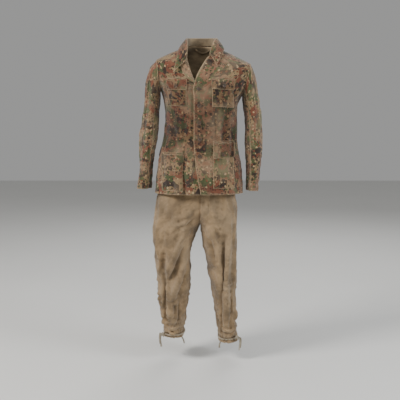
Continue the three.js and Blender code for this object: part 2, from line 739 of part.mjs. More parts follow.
backPanel();
fronts();
facings();
lapel();
collar();
hangerLoop();
Object.keys(SIDE).forEach(sleeve);
Object.entries(POCKETS).forEach(([name, plan]) => {
  pocket(name, plan);
  flap(name, plan);
  pocketButton(name, plan);
});
frontButtons();
Object.keys(SIDE).forEach(trouserHalf);
waistband();
Object.keys(SIDE).forEach(ankleTape);
Object.entries(TAPE_ENDS).forEach(([name, route]) => tapeEnd(name, route));

export default suit;
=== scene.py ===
"""Field suit: a camouflage tunic with four flapped pockets over drill trousers tied at the ankles.

The cloth is drafted on smooth surfaces, called skins: one for the body of the tunic, one for each
sleeve and one for each trouser leg. Each skin gets its creases, hangs under its own weight in a
cloth simulation, and every panel, pocket, seam and button is then laid on it. Tables are in
millimetres, and MM turns them into metres. +Z is up, -Y is the wearer's front and +X is the
wearer's left.
"""

import json
import math

import bmesh
import bpy
import numpy as np
from bpy.props import FloatProperty, FloatVectorProperty, PointerProperty
from mathutils import Matrix, Vector, noise


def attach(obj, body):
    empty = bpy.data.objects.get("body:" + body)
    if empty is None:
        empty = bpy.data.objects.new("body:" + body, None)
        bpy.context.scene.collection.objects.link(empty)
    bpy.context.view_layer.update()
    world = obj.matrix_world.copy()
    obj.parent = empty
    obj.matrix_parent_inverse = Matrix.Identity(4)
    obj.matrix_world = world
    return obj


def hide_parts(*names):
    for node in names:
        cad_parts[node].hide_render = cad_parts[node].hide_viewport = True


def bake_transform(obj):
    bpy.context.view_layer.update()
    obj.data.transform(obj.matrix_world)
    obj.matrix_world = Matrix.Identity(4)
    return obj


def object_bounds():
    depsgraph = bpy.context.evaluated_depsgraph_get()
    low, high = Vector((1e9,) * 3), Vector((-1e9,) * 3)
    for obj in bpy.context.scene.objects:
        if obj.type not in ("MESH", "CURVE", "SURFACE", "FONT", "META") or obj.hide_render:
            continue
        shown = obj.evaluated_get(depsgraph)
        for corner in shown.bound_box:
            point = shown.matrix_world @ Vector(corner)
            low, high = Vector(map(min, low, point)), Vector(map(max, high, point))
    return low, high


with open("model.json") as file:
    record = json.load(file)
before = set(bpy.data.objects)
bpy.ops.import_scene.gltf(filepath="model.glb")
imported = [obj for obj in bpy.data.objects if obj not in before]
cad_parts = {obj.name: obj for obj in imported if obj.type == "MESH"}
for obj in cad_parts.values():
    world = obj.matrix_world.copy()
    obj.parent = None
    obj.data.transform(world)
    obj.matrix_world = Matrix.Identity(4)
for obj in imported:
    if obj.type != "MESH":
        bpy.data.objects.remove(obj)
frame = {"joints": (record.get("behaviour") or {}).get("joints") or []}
cad_box = [[float(value) for value in corner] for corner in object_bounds()]

bl_info = {
    "name": "Field Suit",
    "version": (1, 0, 0),
    "blender": (4, 5, 0),
    "location": "View3D > Sidebar > Suit",
    "description": "Builds a camouflage field tunic and tied drill trousers on their frame",
    "category": "Object",
}

MM = 0.001
TURN = 2 * math.pi
QUARTER = math.pi / 2
SIDES = {"left": 1, "right": -1}

# ---- the draft, in millimetres

TUNIC_ROUNDNESS = 2.5
SLEEVE_ROUNDNESS = 2.2
TUNIC_HEM = -664
BACK_NECK = 10
FRONT_NECK = -3
SHOULDER_TIP = -62
ARMPIT = -207
SHOULDER_SLANT = -0.044
SLANT_FADES = (-400, -200)

# Cross-sections of the tunic: height, middle across, half width, front, back.
TUNIC = [
    (12, 10, 74, -48, 72),
    (0, 10, 80, -55, 76),
    (-30, 12, 147, -80, 93),
    (-62, 16, 214, -98, 104),
    (-75, 17, 236, -104, 107),
    (-100, 17, 243, -112, 112),
    (-150, 12, 226, -126, 118),
    (-205, 8, 188, -136, 120),
    (-251, 4, 173, -138, 117),
    (-302, 6, 165, -137, 112),
    (-354, 3, 167, -132, 106),
    (-407, -2, 170, -132, 108),
    (-464, -8, 181, -134, 112),
    (-553, -7, 195, -140, 120),
    (-609, -8, 203, -143, 125),
    (-664, -8, 206, -146, 129),
]
# Free edges of the two fronts: height, distance across. The left front laps over the right one.
LEFT_EDGE = [
    (0, 86), (-18, 80), (-36, 52), (-46, 37), (-137, -16), (-191, -31), (-221, -28), (-380, -28),
    (-497, -24), (-578, -12), (-664, 1),
]
RIGHT_EDGE = [
    (0, -66), (-20, -64), (-64, -55), (-84, -50), (-137, -30), (-160, -12), (-192, 22), (-664, 30),
]
V_FOOT = -125
LAP_WIDTH = 24
LAP_START = 6
LAP_DEPTH = 3.4
LAP_RISE = 1.7
FACING_WIDTH = 62
TUNIC_HEM_FOLD = 20
HEM_PLY = 0.9
STITCH_IN = 2.5
SIDE_SEAM_TOP = 214
# The right lapel: height, roll line, outer edge.
LAPEL = [
    (-70, -54, -80), (-86, -51, -88), (-100, -46, -84), (-128, -35, -72), (-150, -26, -51),
    (-166, -19, -24),
]
# Collar: the seam to the neckline, the fold along the top and the edge of the turned-down leaf,
# each from the right end round the back to the left end.
COLLAR_SEAM = [
    (-66, -109, -78), (-74, -88, -46), (-74, -52, -12), (-66, 6, 3), (-46, 52, 10), (-20, 68, 12),
    (10, 72, 12), (42, 68, 12), (70, 50, 8), (86, 4, 0), (90, -50, -14), (72, -78, -34),
    (42, -90, -45),
]
COLLAR_FOLD = [
    (-60, -108, -66), (-56, -96, -22), (-56, -66, 20), (-58, -16, 41), (-44, 30, 46),
    (-18, 49, 48), (12, 54, 48), (42, 49, 48), (64, 28, 46), (74, -12, 42), (68, -48, 34),
    (56, -78, 10), (43, -94, -34),
]
COLLAR_EDGE = [
    (-116, -116, -116), (-106, -104, -68), (-96, -64, -22), (-92, 8, -4), (-74, 62, -4),
    (-36, 86, -8), (12, 92, -10), (56, 88, -10), (92, 62, -6), (106, 6, -4), (104, -58, -20),
    (92, -92, -50), (70, -110, -84),
]
# Sleeves from the armhole down: outer edge (across, height), inner edge (across, height), half the
# fore-and-aft depth, and the middle fore and aft.
SLEEVES = {
    "left": [
        (247, -98, 199, -223, 75, -5), (259, -142, 201, -236, 75, -6),
        (269, -198, 204, -256, 74, -7), (281, -270, 211, -300, 73, -9),
        (288, -340, 215, -352, 71, -12), (290, -410, 214, -410, 69, -15),
        (290, -480, 217, -480, 66, -18), (285, -550, 220, -550, 62, -21),
        (275, -609, 221, -605, 59, -24), (267, -655, 221, -651, 57, -26),
    ],
    "right": [
        (-224, -80, -185, -208, 75, -5), (-244, -118, -188, -225, 75, -6),
        (-256, -180, -190, -253, 74, -7), (-262, -262, -194, -300, 73, -9),
        (-273, -340, -196, -350, 71, -12), (-281, -410, -201, -405, 69, -15),
        (-284, -480, -211, -480, 66, -18), (-286, -545, -219, -545, 62, -21),
        (-289, -600, -220, -600, 59, -24), (-290, -643, -221, -641, 57, -26),
    ],
}
UNDERSLEEVE = math.radians(54)
SLEEVE_LENGTH = 560
CUFF_HEM = 30

POCKETS = {
    "left_chest": {"sides": (54, 152), "top": -142, "bottom": -268, "flap": 46, "puff": 3.0},
    "right_chest": {"sides": (-147, -60), "top": -148, "bottom": -270, "flap": 50, "puff": 3.5},
    "left_skirt": {"sides": (58, 150), "top": -428, "bottom": -636, "flap": 72, "puff": 4.0},
    "right_skirt": {"sides": (-176, -82), "top": -480, "bottom": -648, "flap": 78, "puff": 7.0},
}
FLAP_RISE = 7
FLAP_OVERHANG = 2
FLAP_CORNER = 9
FLAP_BUTTON_UP = 17
FLAP_STITCH_ROWS = (4.0, 9.5)
POCKET_STITCH_IN = 3.4
FLAP_HOLE = 9.5
FRONT_HOLE = 11.5
HOLE_WIDTH = 1.5
THREAD_RADIUS = 0.33
BUTTON_RADIUS = 9.5
POCKET_BUTTON_RADIUS = 8.5
BUTTON_INSET = 25
BUTTON_HEIGHTS = (-190, -265, -340, -415, -490)

CROTCH = 2
CROTCH_HEIGHT = -803
WAIST_TOP = -495
WAISTBAND = 40
HEMS = {"left": -1372, "right": -1350}
# Trouser halves: height, outer side, inner side, front, back.
HALVES = {
    "left": [
        (-490, 164, -160, -104, 94), (-560, 168, -150, -110, 106), (-660, 169, -108, -118, 116),
        (-740, 173, -52, -122, 118), (-803, 176, -2, -122, 116), (-923, 177, 28, -114, 104),
        (-1097, 178, 60, -102, 92), (-1185, 177, 74, -96, 88), (-1298, 174, 85, -84, 78),
        (-1372, 173, 88, -72, 68),
    ],
    "right": [
        (-490, -170, 160, -104, 94), (-560, -178, 150, -110, 106), (-660, -200, 108, -118, 116),
        (-740, -217, 50, -122, 118), (-803, -224, -1, -122, 116), (-923, -224, -48, -116, 106),
        (-1097, -209, -53, -104, 94), (-1185, -196, -62, -98, 90), (-1298, -177, -74, -84, 78),
        (-1350, -171, -75, -74, 70),
    ],
}
HEM_CASING = 26
FLY_WIDTH = 36
FLY_LENGTH = 262
TAPE_WIDTH = 9
TAPE_PLY = 1.2
TAPE_RISE = 17
BOW_TURN = math.radians(56)

# The length of the cloth simulation, the width of the pale rubbed edges, and the looks of printed
# cloth: its face and its inside.
DRAPE_FRAMES = 16
WORN_EDGE = 3.2
PRINTED = ("camouflage_cloth", "lining_cloth")

# Ankle tapes' free ends, each a route from the knot or the hem downward.
TAPE_ENDS = {
    "right_tape_end_front": [
        (-180, -53, -1333), (-185, -57, -1338), (-187, -60, -1346), (-187, -62, -1358),
        (-186, -63, -1370), (-184, -63, -1382), (-183, -63, -1394)],
    "right_tape_end_back": [
        (-187, -30, -1337), (-190, -29, -1341), (-191, -29, -1347), (-192, -28, -1358),
        (-191, -27, -1374), (-189, -27, -1392)],
    "left_tape_end_front": [
        (183, -52, -1357), (187, -54, -1363), (189, -54, -1372), (189, -54, -1385),
        (187, -55, -1399), (185, -55, -1414)],
    "left_tape_end_back": [
        (188, -28, -1358), (192, -26, -1362), (194, -25, -1369), (195, -24, -1382),
        (194, -23, -1396), (192, -23, -1413)],
    "right_inner_tape": [
        (-90, -28, -1330), (-90, -28, -1341), (-88, -29, -1352), (-82, -31, -1364),
        (-77, -33, -1376), (-75, -33, -1387)],
    "left_inner_tape": [
        (103, -28, -1352), (103, -28, -1363), (101, -29, -1374), (95, -31, -1386),
        (92, -33, -1398), (92, -33, -1409)],
}

# ---- creases
# Each crease is (width, height, points), with True where it runs on over the cloth's edge. A
# negative height is a groove. Tunic and trouser points are (across, height) on front or back.

TUNIC_FRONT_CREASES = [
    (13, -10, [(-62, -418), (-72, -470), (-78, -540), (-72, -610), (-66, -664)], True),
    (15, 7, [(-92, -440), (-100, -500), (-104, -580), (-98, -664)], True),
    (14, 6, [(-40, -470), (-44, -560), (-34, -664)], True),
    (12, 6, [(75, -232), (86, -354), (90, -400), (108, -475), (126, -560), (134, -664)], True),
    (10, -5, [(60, -240), (70, -354), (76, -410), (92, -480), (108, -550)]),
    (12, -7, [(26, -556), (14, -610), (8, -664)], True),
    (13, 5, [(44, -540), (36, -600), (32, -664)], True),
    (12, -5, [(-162, -500), (-168, -560), (-166, -615)]),
    (9, 3.5, [(-160, -338), (-120, -352), (-70, -376)]),
    (9, -3.5, [(-158, -360), (-118, -378), (-66, -396)]),
    (9, 3, [(150, -322), (118, -340), (50, -362)]),
    (9, -3, [(156, -346), (112, -368), (52, -384)]),
    (10, 3.5, [(150, -400), (120, -420), (60, -430)]),
    (11, 4, [(176, -150), (140, -176), (96, -226)]),
    (10, -4, [(180, -176), (150, -206), (120, -262)]),
    (11, 4, [(-158, -146), (-130, -190), (-104, -250)]),
    (10, -4, [(-166, -170), (-148, -226), (-130, -292)]),
    (9, 3, [(-150, -282), (-110, -300), (-50, -306)]),
    (10, 3.5, [(-30, -200), (-44, -250), (-50, -330)]),
    (9, -3, [(28, -214), (34, -270), (30, -330)]),
    (12, 5, [(164, -520), (172, -590), (174, -664)], True),
    (12, 4.5, [(-186, -450), (-190, -540), (-196, -664)], True),
]
TUNIC_BACK_CREASES = [
    (14, 7, [(-120, -430), (-128, -540), (-134, -664)], True),
    (13, -8, [(-84, -420), (-88, -540), (-92, -664)], True),
    (16, 7, [(-44, -450), (-50, -560), (-52, -664)], True),
    (13, -7, [(6, -440), (4, -560), (6, -664)], True),
    (16, 7, [(50, -430), (58, -550), (60, -664)], True),
    (13, -8, [(98, -440), (108, -550), (112, -664)], True),
    (14, 7, [(136, -450), (148, -560), (154, -664)], True),
    (12, 4, [(150, -150), (110, -220), (70, -330)]),
    (12, 4, [(-150, -140), (-108, -220), (-66, -330)]),
    (11, -4, [(150, -200), (118, -270), (84, -360)]),
    (11, -4, [(-152, -196), (-118, -270), (-82, -356)]),
    (9, 3.5, [(150, -345), (80, -362), (10, -366)]),
    (9, -3, [(140, -372), (60, -388), (-30, -386)]),
    (9, 3.5, [(-150, -352), (-90, -372), (-20, -380)]),
    (12, 3.5, [(10, -60), (6, -160), (4, -280)]),
]
# Sleeve points are (degrees round from the outermost side, share of the way down).
SLEEVE_CREASES = {
    "left": [
        (9, 4.5, [(28, 0.08), (24, 0.3), (20, 0.6), (26, 0.95)]),
        (9, -5, [(62, 0.06), (58, 0.28), (66, 0.5), (60, 0.74)]),
        (9, 4, [(92, 0.10), (88, 0.34), (98, 0.56), (90, 0.82)]),
        (8, -4, [(122, 0.16), (128, 0.36), (118, 0.52)]),
        (7, 3, [(40, 0.50), (76, 0.54), (112, 0.51)]),
        (7, -3, [(36, 0.55), (74, 0.59), (116, 0.56)]),
        (7, 3, [(46, 0.63), (84, 0.66), (120, 0.62)]),
        (9, 4, [(-40, 0.06), (-46, 0.4), (-40, 0.9)]),
        (9, -4, [(-84, 0.1), (-88, 0.42), (-80, 0.8)]),
        (7, 3.5, [(-60, 0.46), (-100, 0.52), (-150, 0.5)]),
        (7, -3, [(-70, 0.54), (-110, 0.58), (-160, 0.56)]),
        (8, 3.5, [(160, 0.1), (150, 0.2), (120, 0.3)]),
    ],
    "right": [
        (9, 5, [(26, 0.06), (30, 0.26), (22, 0.55), (30, 0.95)]),
        (9, -5, [(56, 0.05), (64, 0.30), (56, 0.52), (64, 0.80)]),
        (9, 4, [(88, 0.12), (94, 0.38), (86, 0.60), (96, 0.9)]),
        (8, -4, [(120, 0.14), (124, 0.34), (126, 0.56)]),
        (7, 3, [(30, 0.44), (70, 0.48), (110, 0.46)]),
        (7, -3.5, [(34, 0.50), (76, 0.54), (118, 0.52)]),
        (7, 3, [(44, 0.58), (86, 0.62), (126, 0.58)]),
        (9, 4, [(-38, 0.08), (-44, 0.4), (-38, 0.9)]),
        (9, -4, [(-82, 0.1), (-86, 0.42), (-78, 0.8)]),
        (7, 3.5, [(-62, 0.48), (-104, 0.53), (-150, 0.51)]),
        (7, -3, [(-66, 0.56), (-110, 0.6), (-156, 0.58)]),
        (8, 3.5, [(158, 0.1), (146, 0.22), (118, 0.32)]),
    ],
}
TROUSER_FRONT_CREASES = {
    "left": [
        (11, 7, [(136, -700), (140, -860), (132, -1000), (126, -1150), (124, -1340)], True),
        (12, -6, [(112, -800), (112, -940), (106, -1080), (102, -1240), (104, -1330)], True),
        (12, 5, [(84, -860), (92, -1000), (92, -1150)]),
        (12, -6, [(158, -820), (160, -980), (154, -1140), (150, -1290)]),
        (11, 5, [(30, -800), (64, -850), (104, -930)]),
        (11, -5, [(20, -830), (52, -884), (88, -980)]),
        (9, 4, [(100, -1060), (130, -1084), (164, -1080)]),
        (9, -4, [(98, -1096), (128, -1120), (166, -1118)]),
        (7, 4, [(96, -1296), (128, -1306), (166, -1298)]),
        (7, -4, [(94, -1314), (130, -1322), (168, -1316)]),
        (7, 4, [(96, -1332), (130, -1340), (168, -1334)]),
    ],
    "right": [
        (13, 7, [(-70, -830), (-108, -900), (-146, -985), (-186, -1080)]),
        (12, -7, [(-56, -866), (-94, -944), (-130, -1030), (-170, -1130)]),
        (12, 6, [(-60, -930), (-90, -1010), (-120, -1090), (-156, -1180)]),
        (12, -6, [(-62, -1000), (-84, -1080), (-112, -1160)]),
        (13, -8, [(-168, -900), (-172, -1000), (-168, -1100), (-160, -1250)], True),
        (12, 6, [(-140, -1120), (-138, -1200), (-130, -1330)], True),
        (10, -5, [(-96, -1120), (-100, -1220), (-96, -1290)]),
        (12, 5, [(-196, -760), (-204, -860), (-200, -960)]),
        (7, 5, [(-82, -1284), (-120, -1292), (-168, -1284)]),
        (7, -5, [(-82, -1300), (-122, -1308), (-170, -1302)]),
        (7, 5, [(-82, -1316), (-120, -1324), (-170, -1318)]),
        (9, -5, [(-24, -770), (-60, -800), (-120, -820)]),
        (10, 5, [(-20, -740), (-70, -762), (-140, -770)]),
    ],
}
TROUSER_BACK_CREASES = {
    "left": [
        (12, 6, [(30, -830), (80, -900), (130, -960)]),
        (12, -6, [(40, -880), (84, -960), (120, -1040)]),
        (11, 6, [(130, -900), (134, -1060), (130, -1340)], True),
        (11, -5, [(100, -1000), (104, -1140), (104, -1340)], True),
        (9, 4, [(80, -1060), (120, -1074), (164, -1064)]),
        (9, -4, [(84, -1092), (124, -1106), (166, -1098)]),
        (7, 4, [(94, -1300), (130, -1310), (168, -1302)]),
        (7, -4, [(94, -1320), (130, -1328), (168, -1322)]),
    ],
    "right": [
        (12, 6, [(-30, -830), (-84, -896), (-150, -960)]),
        (12, -6, [(-50, -880), (-100, -960), (-150, -1060)]),
        (11, 6, [(-130, -940), (-134, -1080), (-128, -1330)], True),
        (11, -5, [(-164, -960), (-160, -1120), (-150, -1330)], True),
        (9, 4, [(-70, -1070), (-120, -1084), (-180, -1070)]),
        (7, 5, [(-84, -1290), (-124, -1300), (-170, -1290)]),
        (7, -5, [(-84, -1308), (-124, -1316), (-170, -1310)]),
    ],
}

# ---- curves and skins


def smoothstep(low, high, value):
    share = np.clip((value - low) / (high - low), 0, 1)
    return share * share * (3 - 2 * share)


def power(value, exponent):
    return np.sign(value) * np.abs(value) ** exponent


def station(table, heights):
    """Smooth curve through a table whose first column falls: one array for each other column."""
    rows = np.asarray(table, float)
    keys, values, last = -rows[:, 0], rows[:, 1:], len(rows) - 1
    after = np.minimum(np.arange(last + 1) + 1, last)
    before = np.maximum(np.arange(last + 1) - 1, 0)
    slopes = (values[after] - values[before]) / (keys[after] - keys[before])[:, None]
    spot = -np.asarray(heights, float)
    row = np.clip(np.searchsorted(keys, spot, side="right") - 1, 0, last - 1)
    span = (keys[row + 1] - keys[row])[..., None]
    t = np.clip((spot[..., None] - keys[row][..., None]) / span, 0, 1)
    found = (
        (2 * t**3 - 3 * t**2 + 1) * values[row] + (t**3 - 2 * t**2 + t) * span * slopes[row]
        + (3 * t**2 - 2 * t**3) * values[row + 1] + (t**3 - t**2) * span * slopes[row + 1]
    )
    return np.moveaxis(found, -1, 0)


def unit(vectors):
    return vectors / np.maximum(np.linalg.norm(vectors, axis=-1, keepdims=True), 1e-12)


def spline(points, shares):
    """Points on a smooth curve through the given points, at shares from 0 to 1 of the way."""
    knots = np.asarray(points, float)
    padded = np.vstack([2 * knots[0] - knots[1], knots, 2 * knots[-1] - knots[-2]])
    place = np.clip(shares, 0, 1) * (len(knots) - 1)
    low = np.minimum(place.astype(int), len(knots) - 2)
    weights = catmull(place - low)
    return sum(weights[k][..., None] * padded[low + k] for k in range(4))


def catmull(t):
    """Weights of the four neighbours of a place between the second and the third of them."""
    return (
        (-t + 2 * t**2 - t**3) / 2, (2 - 5 * t**2 + 3 * t**3) / 2,
        (t + 4 * t**2 - 3 * t**3) / 2, (-(t**2) + t**3) / 2,
    )


def cubic(values, row, column):
    """Smoothly reads a grid that wraps round in its columns."""
    rows, columns = values.shape[:2]
    row = np.clip(row, 0, rows - 1)
    low_row = np.minimum(row.astype(int), rows - 2)
    low_column = np.floor(column).astype(int)
    down, round_ = catmull(row - low_row), catmull(column - low_column)
    total = 0
    for i in range(4):
        near_row = np.clip(low_row + i - 1, 0, rows - 1)
        for j in range(4):
            near_column = np.mod(low_column + j - 1, columns)
            total = total + (down[i] * round_[j])[..., None] * values[near_row, near_column]
    return total


def even_angles(half_width, half_depth, roundness, count):
    """Angles that divide a cross-section into equal lengths, from 0 to a full turn."""
    angle = np.linspace(0, TURN, 2881)
    x = half_width * power(np.sin(angle), 2 / roundness)
    y = half_depth * power(np.cos(angle), 2 / roundness)
    run = np.concatenate([[0], np.cumsum(np.hypot(np.diff(x), np.diff(y)))])
    return np.interp(np.linspace(0, run[-1], count + 1), run, angle)


def even_depths(place, top, bottom, angle, count):
    """Depths that divide the way down a skin into equal lengths."""
    depth = np.linspace(top, bottom, 400)
    line = place(np.full_like(depth, angle), depth)
    run = np.concatenate([[0], np.cumsum(np.linalg.norm(np.diff(line, axis=0), axis=1))])
    return np.interp(np.linspace(0, run[-1], count), run, depth)


class Skin:
    """A cloth surface as a grid of points: rows run down it and columns run round it."""

    def __init__(self, place, depths, angles):
        count = len(angles) - 1
        self.place, self.depths = place, depths
        self.columns = np.arange(-count, 2 * count + 1)
        self.wide = np.concatenate([angles[:-1] - TURN, angles[:-1], angles + TURN])
        self.angle, self.depth = np.meshgrid(angles[:-1], depths)
        self.points = place(self.angle, self.depth)
        self.measure()
        self.base, self.base_normals = self.points.copy(), self.normals.copy()

    def measure(self):
        round_ = np.roll(self.points, -1, axis=1) - np.roll(self.points, 1, axis=1)
        normals = unit(np.cross(np.gradient(self.points, axis=0), round_))
        outward = self.points - self.points.mean(axis=1, keepdims=True)
        self.normals = normals if (normals * outward).sum() > 0 else -normals

    def move(self, shift):
        self.points = self.points + self.normals * shift[..., None]
        self.measure()

    def column(self, angle):
        return np.interp(angle, self.wide, self.columns)

    def row(self, depth):
        return np.interp(depth, self.depths, np.arange(len(self.depths)))

    def angles(self, start, end, share):
        first = self.column(start)
        return np.interp(first + (self.column(end) - first) * share, self.columns, self.wide)

    def down(self, top, bottom, share):
        first = self.row(top)
        rows = np.arange(len(self.depths))
        return np.interp(first + (self.row(bottom) - first) * share, rows, self.depths)

    def normal(self, angle, depth):
        return unit(cubic(self.normals, self.row(depth), self.column(angle)))

    def at(self, angle, depth, lift=0.0):
        point = cubic(self.points, self.row(depth), self.column(angle))
        return point + self.normal(angle, depth) * (np.asarray(lift) * MM)[..., None]


def round_place(middle, half_width, front, back, angle):
    across = middle + half_width * power(np.sin(angle), 2 / TUNIC_ROUNDNESS)
    along = (front + back) / 2 - (back - front) / 2 * power(np.cos(angle), 2 / TUNIC_ROUNDNESS)
    return across, along


def tunic_place(angle, depth):
    height = -np.asarray(depth, float)
    across, along = round_place(*station(TUNIC, height), angle)
    slant = SHOULDER_SLANT * across * smoothstep(*SLANT_FADES, height)
    return np.stack([across, along, height + slant], axis=-1) * MM


def front_angle(across, height):
    middle, half_width = station(TUNIC, height)[:2]
    return np.arcsin(power(np.clip((across - middle) / half_width, -1, 1), TUNIC_ROUNDNESS / 2))


def armhole(side):
    """The armhole's plane: its top and bottom, its upward and its outward direction."""
    quarter = SIDES[side] * QUARTER
    tip, pit = (tunic_place(np.array(quarter), np.array(-height)) for height in (SHOULDER_TIP, ARMPIT))
    up = unit(tip - pit)
    return tip, pit, up, unit(np.cross([0, SIDES[side], 0], up))


def in_tunic(point):
    """Below 0 inside the tunic's body surface and above 0 outside it."""
    across, along, height = point[..., 0] / MM, point[..., 1] / MM, point[..., 2] / MM
    height = height - SHOULDER_SLANT * across * smoothstep(*SLANT_FADES, height)
    middle, half_width, front, back = station(TUNIC, height)
    share = np.abs((across - middle) / half_width) ** TUNIC_ROUNDNESS
    return share + np.abs((along - (front + back) / 2) / ((back - front) / 2)) ** TUNIC_ROUNDNESS - 1


def sleeve_place(side):
    """Point on a sleeve; the angle is 0 outermost, a quarter turn at the front, and the depth is a
    share of the sleeve's length. Its top is the armhole's own outline."""
    tip, pit, _, out = armhole(side)
    first = (tip[0] / MM, tip[2] / MM, pit[0] / MM, pit[2] / MM, 75, -5)
    rows = [(-index, *row) for index, row in enumerate([first, *SLEEVES[side]])]
    last, heart = len(rows) - 1, (tip + pit) / 2

    def tube(angle, depth):
        out_x, out_z, in_x, in_z, half_depth, middle = station(rows, -depth * last)
        swing = power(np.cos(angle), 2 / SLEEVE_ROUNDNESS)
        return MM * np.stack([
            (out_x + in_x) / 2 + (out_x - in_x) / 2 * swing,
            middle - half_depth * power(np.sin(angle), 2 / SLEEVE_ROUNDNESS),
            (out_z + in_z) / 2 + (out_z - in_z) / 2 * swing,
        ], axis=-1)

    def outline(angle):
        ray = unit(tube(angle, np.zeros_like(angle)) - heart)
        ray = unit(ray - (ray @ out)[..., None] * out)
        near, far = np.zeros(ray.shape[:-1]), np.full(ray.shape[:-1], 0.2)
        for _ in range(30):
            middle = (near + far) / 2
            inside = in_tunic(heart + ray * middle[..., None]) < 0
            near, far = np.where(inside, middle, near), np.where(inside, far, middle)
        return heart + ray * near[..., None]

    def place(angle, depth):
        share = smoothstep(0, 0.16, depth)[..., None]
        return outline(angle) * (1 - share) + tube(angle, depth) * share

    return place


def leg_place(side):
    def place(angle, depth):
        height = -np.asarray(depth, float)
        outer, inner, front, back = station(HALVES[side], height)
        across, along = round_place((outer + inner) / 2, np.abs(outer - inner) / 2, front, back, angle)
        return np.stack([across, along, height], axis=-1) * MM

    return place


def half_angle(side, across, height, behind=False):
    """The angle of the point of a trouser half that lies this far across, in front or behind."""
    outer, inner = station(HALVES[side], height)[:2]
    share = (across - (outer + inner) / 2) / (np.abs(outer - inner) / 2)
    angle = np.arcsin(power(np.clip(share, -1, 1), TUNIC_ROUNDNESS / 2))
    return math.pi - angle if behind else angle


def placed(creases, place):
    """The creases with their points placed on a skin."""
    return [(width, height, place(*np.array(line, float).T), *over_edge)
            for width, height, line, *over_edge in creases]


def crease_height(skin, creases, depth):
    """How far the creases raise each point of a skin, in metres, deepened by a factor."""
    total = np.zeros(skin.points.shape[:2])
    for width, height, line, *over_edge in creases:
        knots = spline(line, np.linspace(0, 1, 4 * len(line)))
        nearest, share = np.full(total.shape, 9.0), np.zeros(total.shape)
        for index, (start, end) in enumerate(zip(knots[:-1], knots[1:])):
            step = end - start
            t = np.clip((skin.base - start) @ step / (step @ step), 0, 1)
            away = np.linalg.norm(skin.base - start - t[..., None] * step, axis=-1)
            closer = away < nearest
            nearest = np.where(closer, away, nearest)
            share = np.where(closer, (index + t) / (len(knots) - 1), share)
        fade = smoothstep(0, 0.3, share)
        if not over_edge:
            fade = fade * smoothstep(1, 0.7, share)
        reach = nearest / (width * MM)
        profile = np.exp(-(reach**2)) - 0.4 * np.exp(-((reach / 2.3) ** 2))
        total += height * depth * MM * fade * profile
    return total


def wrinkle(skin, size, height, stretch=(1, 1, 0.45), seed=0):
    """Random soft unevenness of a skin, in metres, longer down the cloth than across it."""
    points = skin.base.reshape(-1, 3) * np.array(stretch) / (size * MM)
    found = [noise.fractal(Vector(point) + Vector((seed, 7.3, 1.9)), 0.6, 2.1, 3) for point in points]
    return np.reshape(found, skin.base.shape[:2]) * height * MM


# ---- meshes


def new_object(name, points, faces, looks=()):
    mesh = bpy.data.meshes.new(name)
    mesh.from_pydata([tuple(point) for point in points], [], [tuple(face) for face in faces])
    mesh.validate()
    for look in looks:
        mesh.materials.append(materials()[look])
    mesh.shade_smooth()
    made = bpy.data.objects.new(name, mesh)
    bpy.context.scene.collection.objects.link(made)
    return made


def grid_faces(rows, columns, wraps=False, flip=False):
    faces = []
    for row in range(rows - 1):
        for column in range(columns if wraps else columns - 1):
            right = (column + 1) % columns
            face = (row * columns + column, row * columns + right,
                    (row + 1) * columns + right, (row + 1) * columns + column)
            faces.append(face[::-1] if flip else face)
    return faces


def apply_modifiers(piece):
    graph = bpy.context.evaluated_depsgraph_get()
    mesh = bpy.data.meshes.new_from_object(piece.evaluated_get(graph))
    piece.modifiers.clear()
    old, piece.data = piece.data, mesh
    bpy.data.meshes.remove(old)
    mesh.name = piece.name
    return piece


def cloth_uv(mesh, points, origin):
    """Lays the cloth out flat in metres, so that print and weave keep their size on it."""
    across = np.linalg.norm(np.diff(points, axis=1), axis=2)
    along = np.linalg.norm(np.diff(points, axis=0), axis=2)
    u = np.pad(np.cumsum(across, axis=1), ((0, 0), (1, 0)))
    u = u - u[:, [u.shape[1] // 2]]
    v = -np.pad(np.cumsum(along.mean(axis=1)), (1, 0))[:, None] + np.zeros_like(u)
    flat = np.stack([u + origin[0], v + origin[1]], axis=-1).reshape(-1, 2)
    layer = mesh.uv_layers.new(name="cloth")
    corners = np.zeros(len(mesh.loops), int)
    mesh.loops.foreach_get("vertex_index", corners)
    layer.data.foreach_set("uv", flat[corners].ravel().astype(np.float32))


def edge_distance(points):
    """The distance along the cloth from each point of a grid to the grid's nearest edge."""
    nearest = np.full(points.shape[:2], 9.0)
    for axis in (0, 1):
        step = np.linalg.norm(np.diff(points, axis=axis), axis=2)
        run = np.cumsum(step, axis=axis)
        run = np.concatenate([np.zeros_like(run.take([0], axis)), run], axis=axis)
        nearest = np.minimum(nearest, np.minimum(run, run.take([-1], axis) - run))
    return nearest


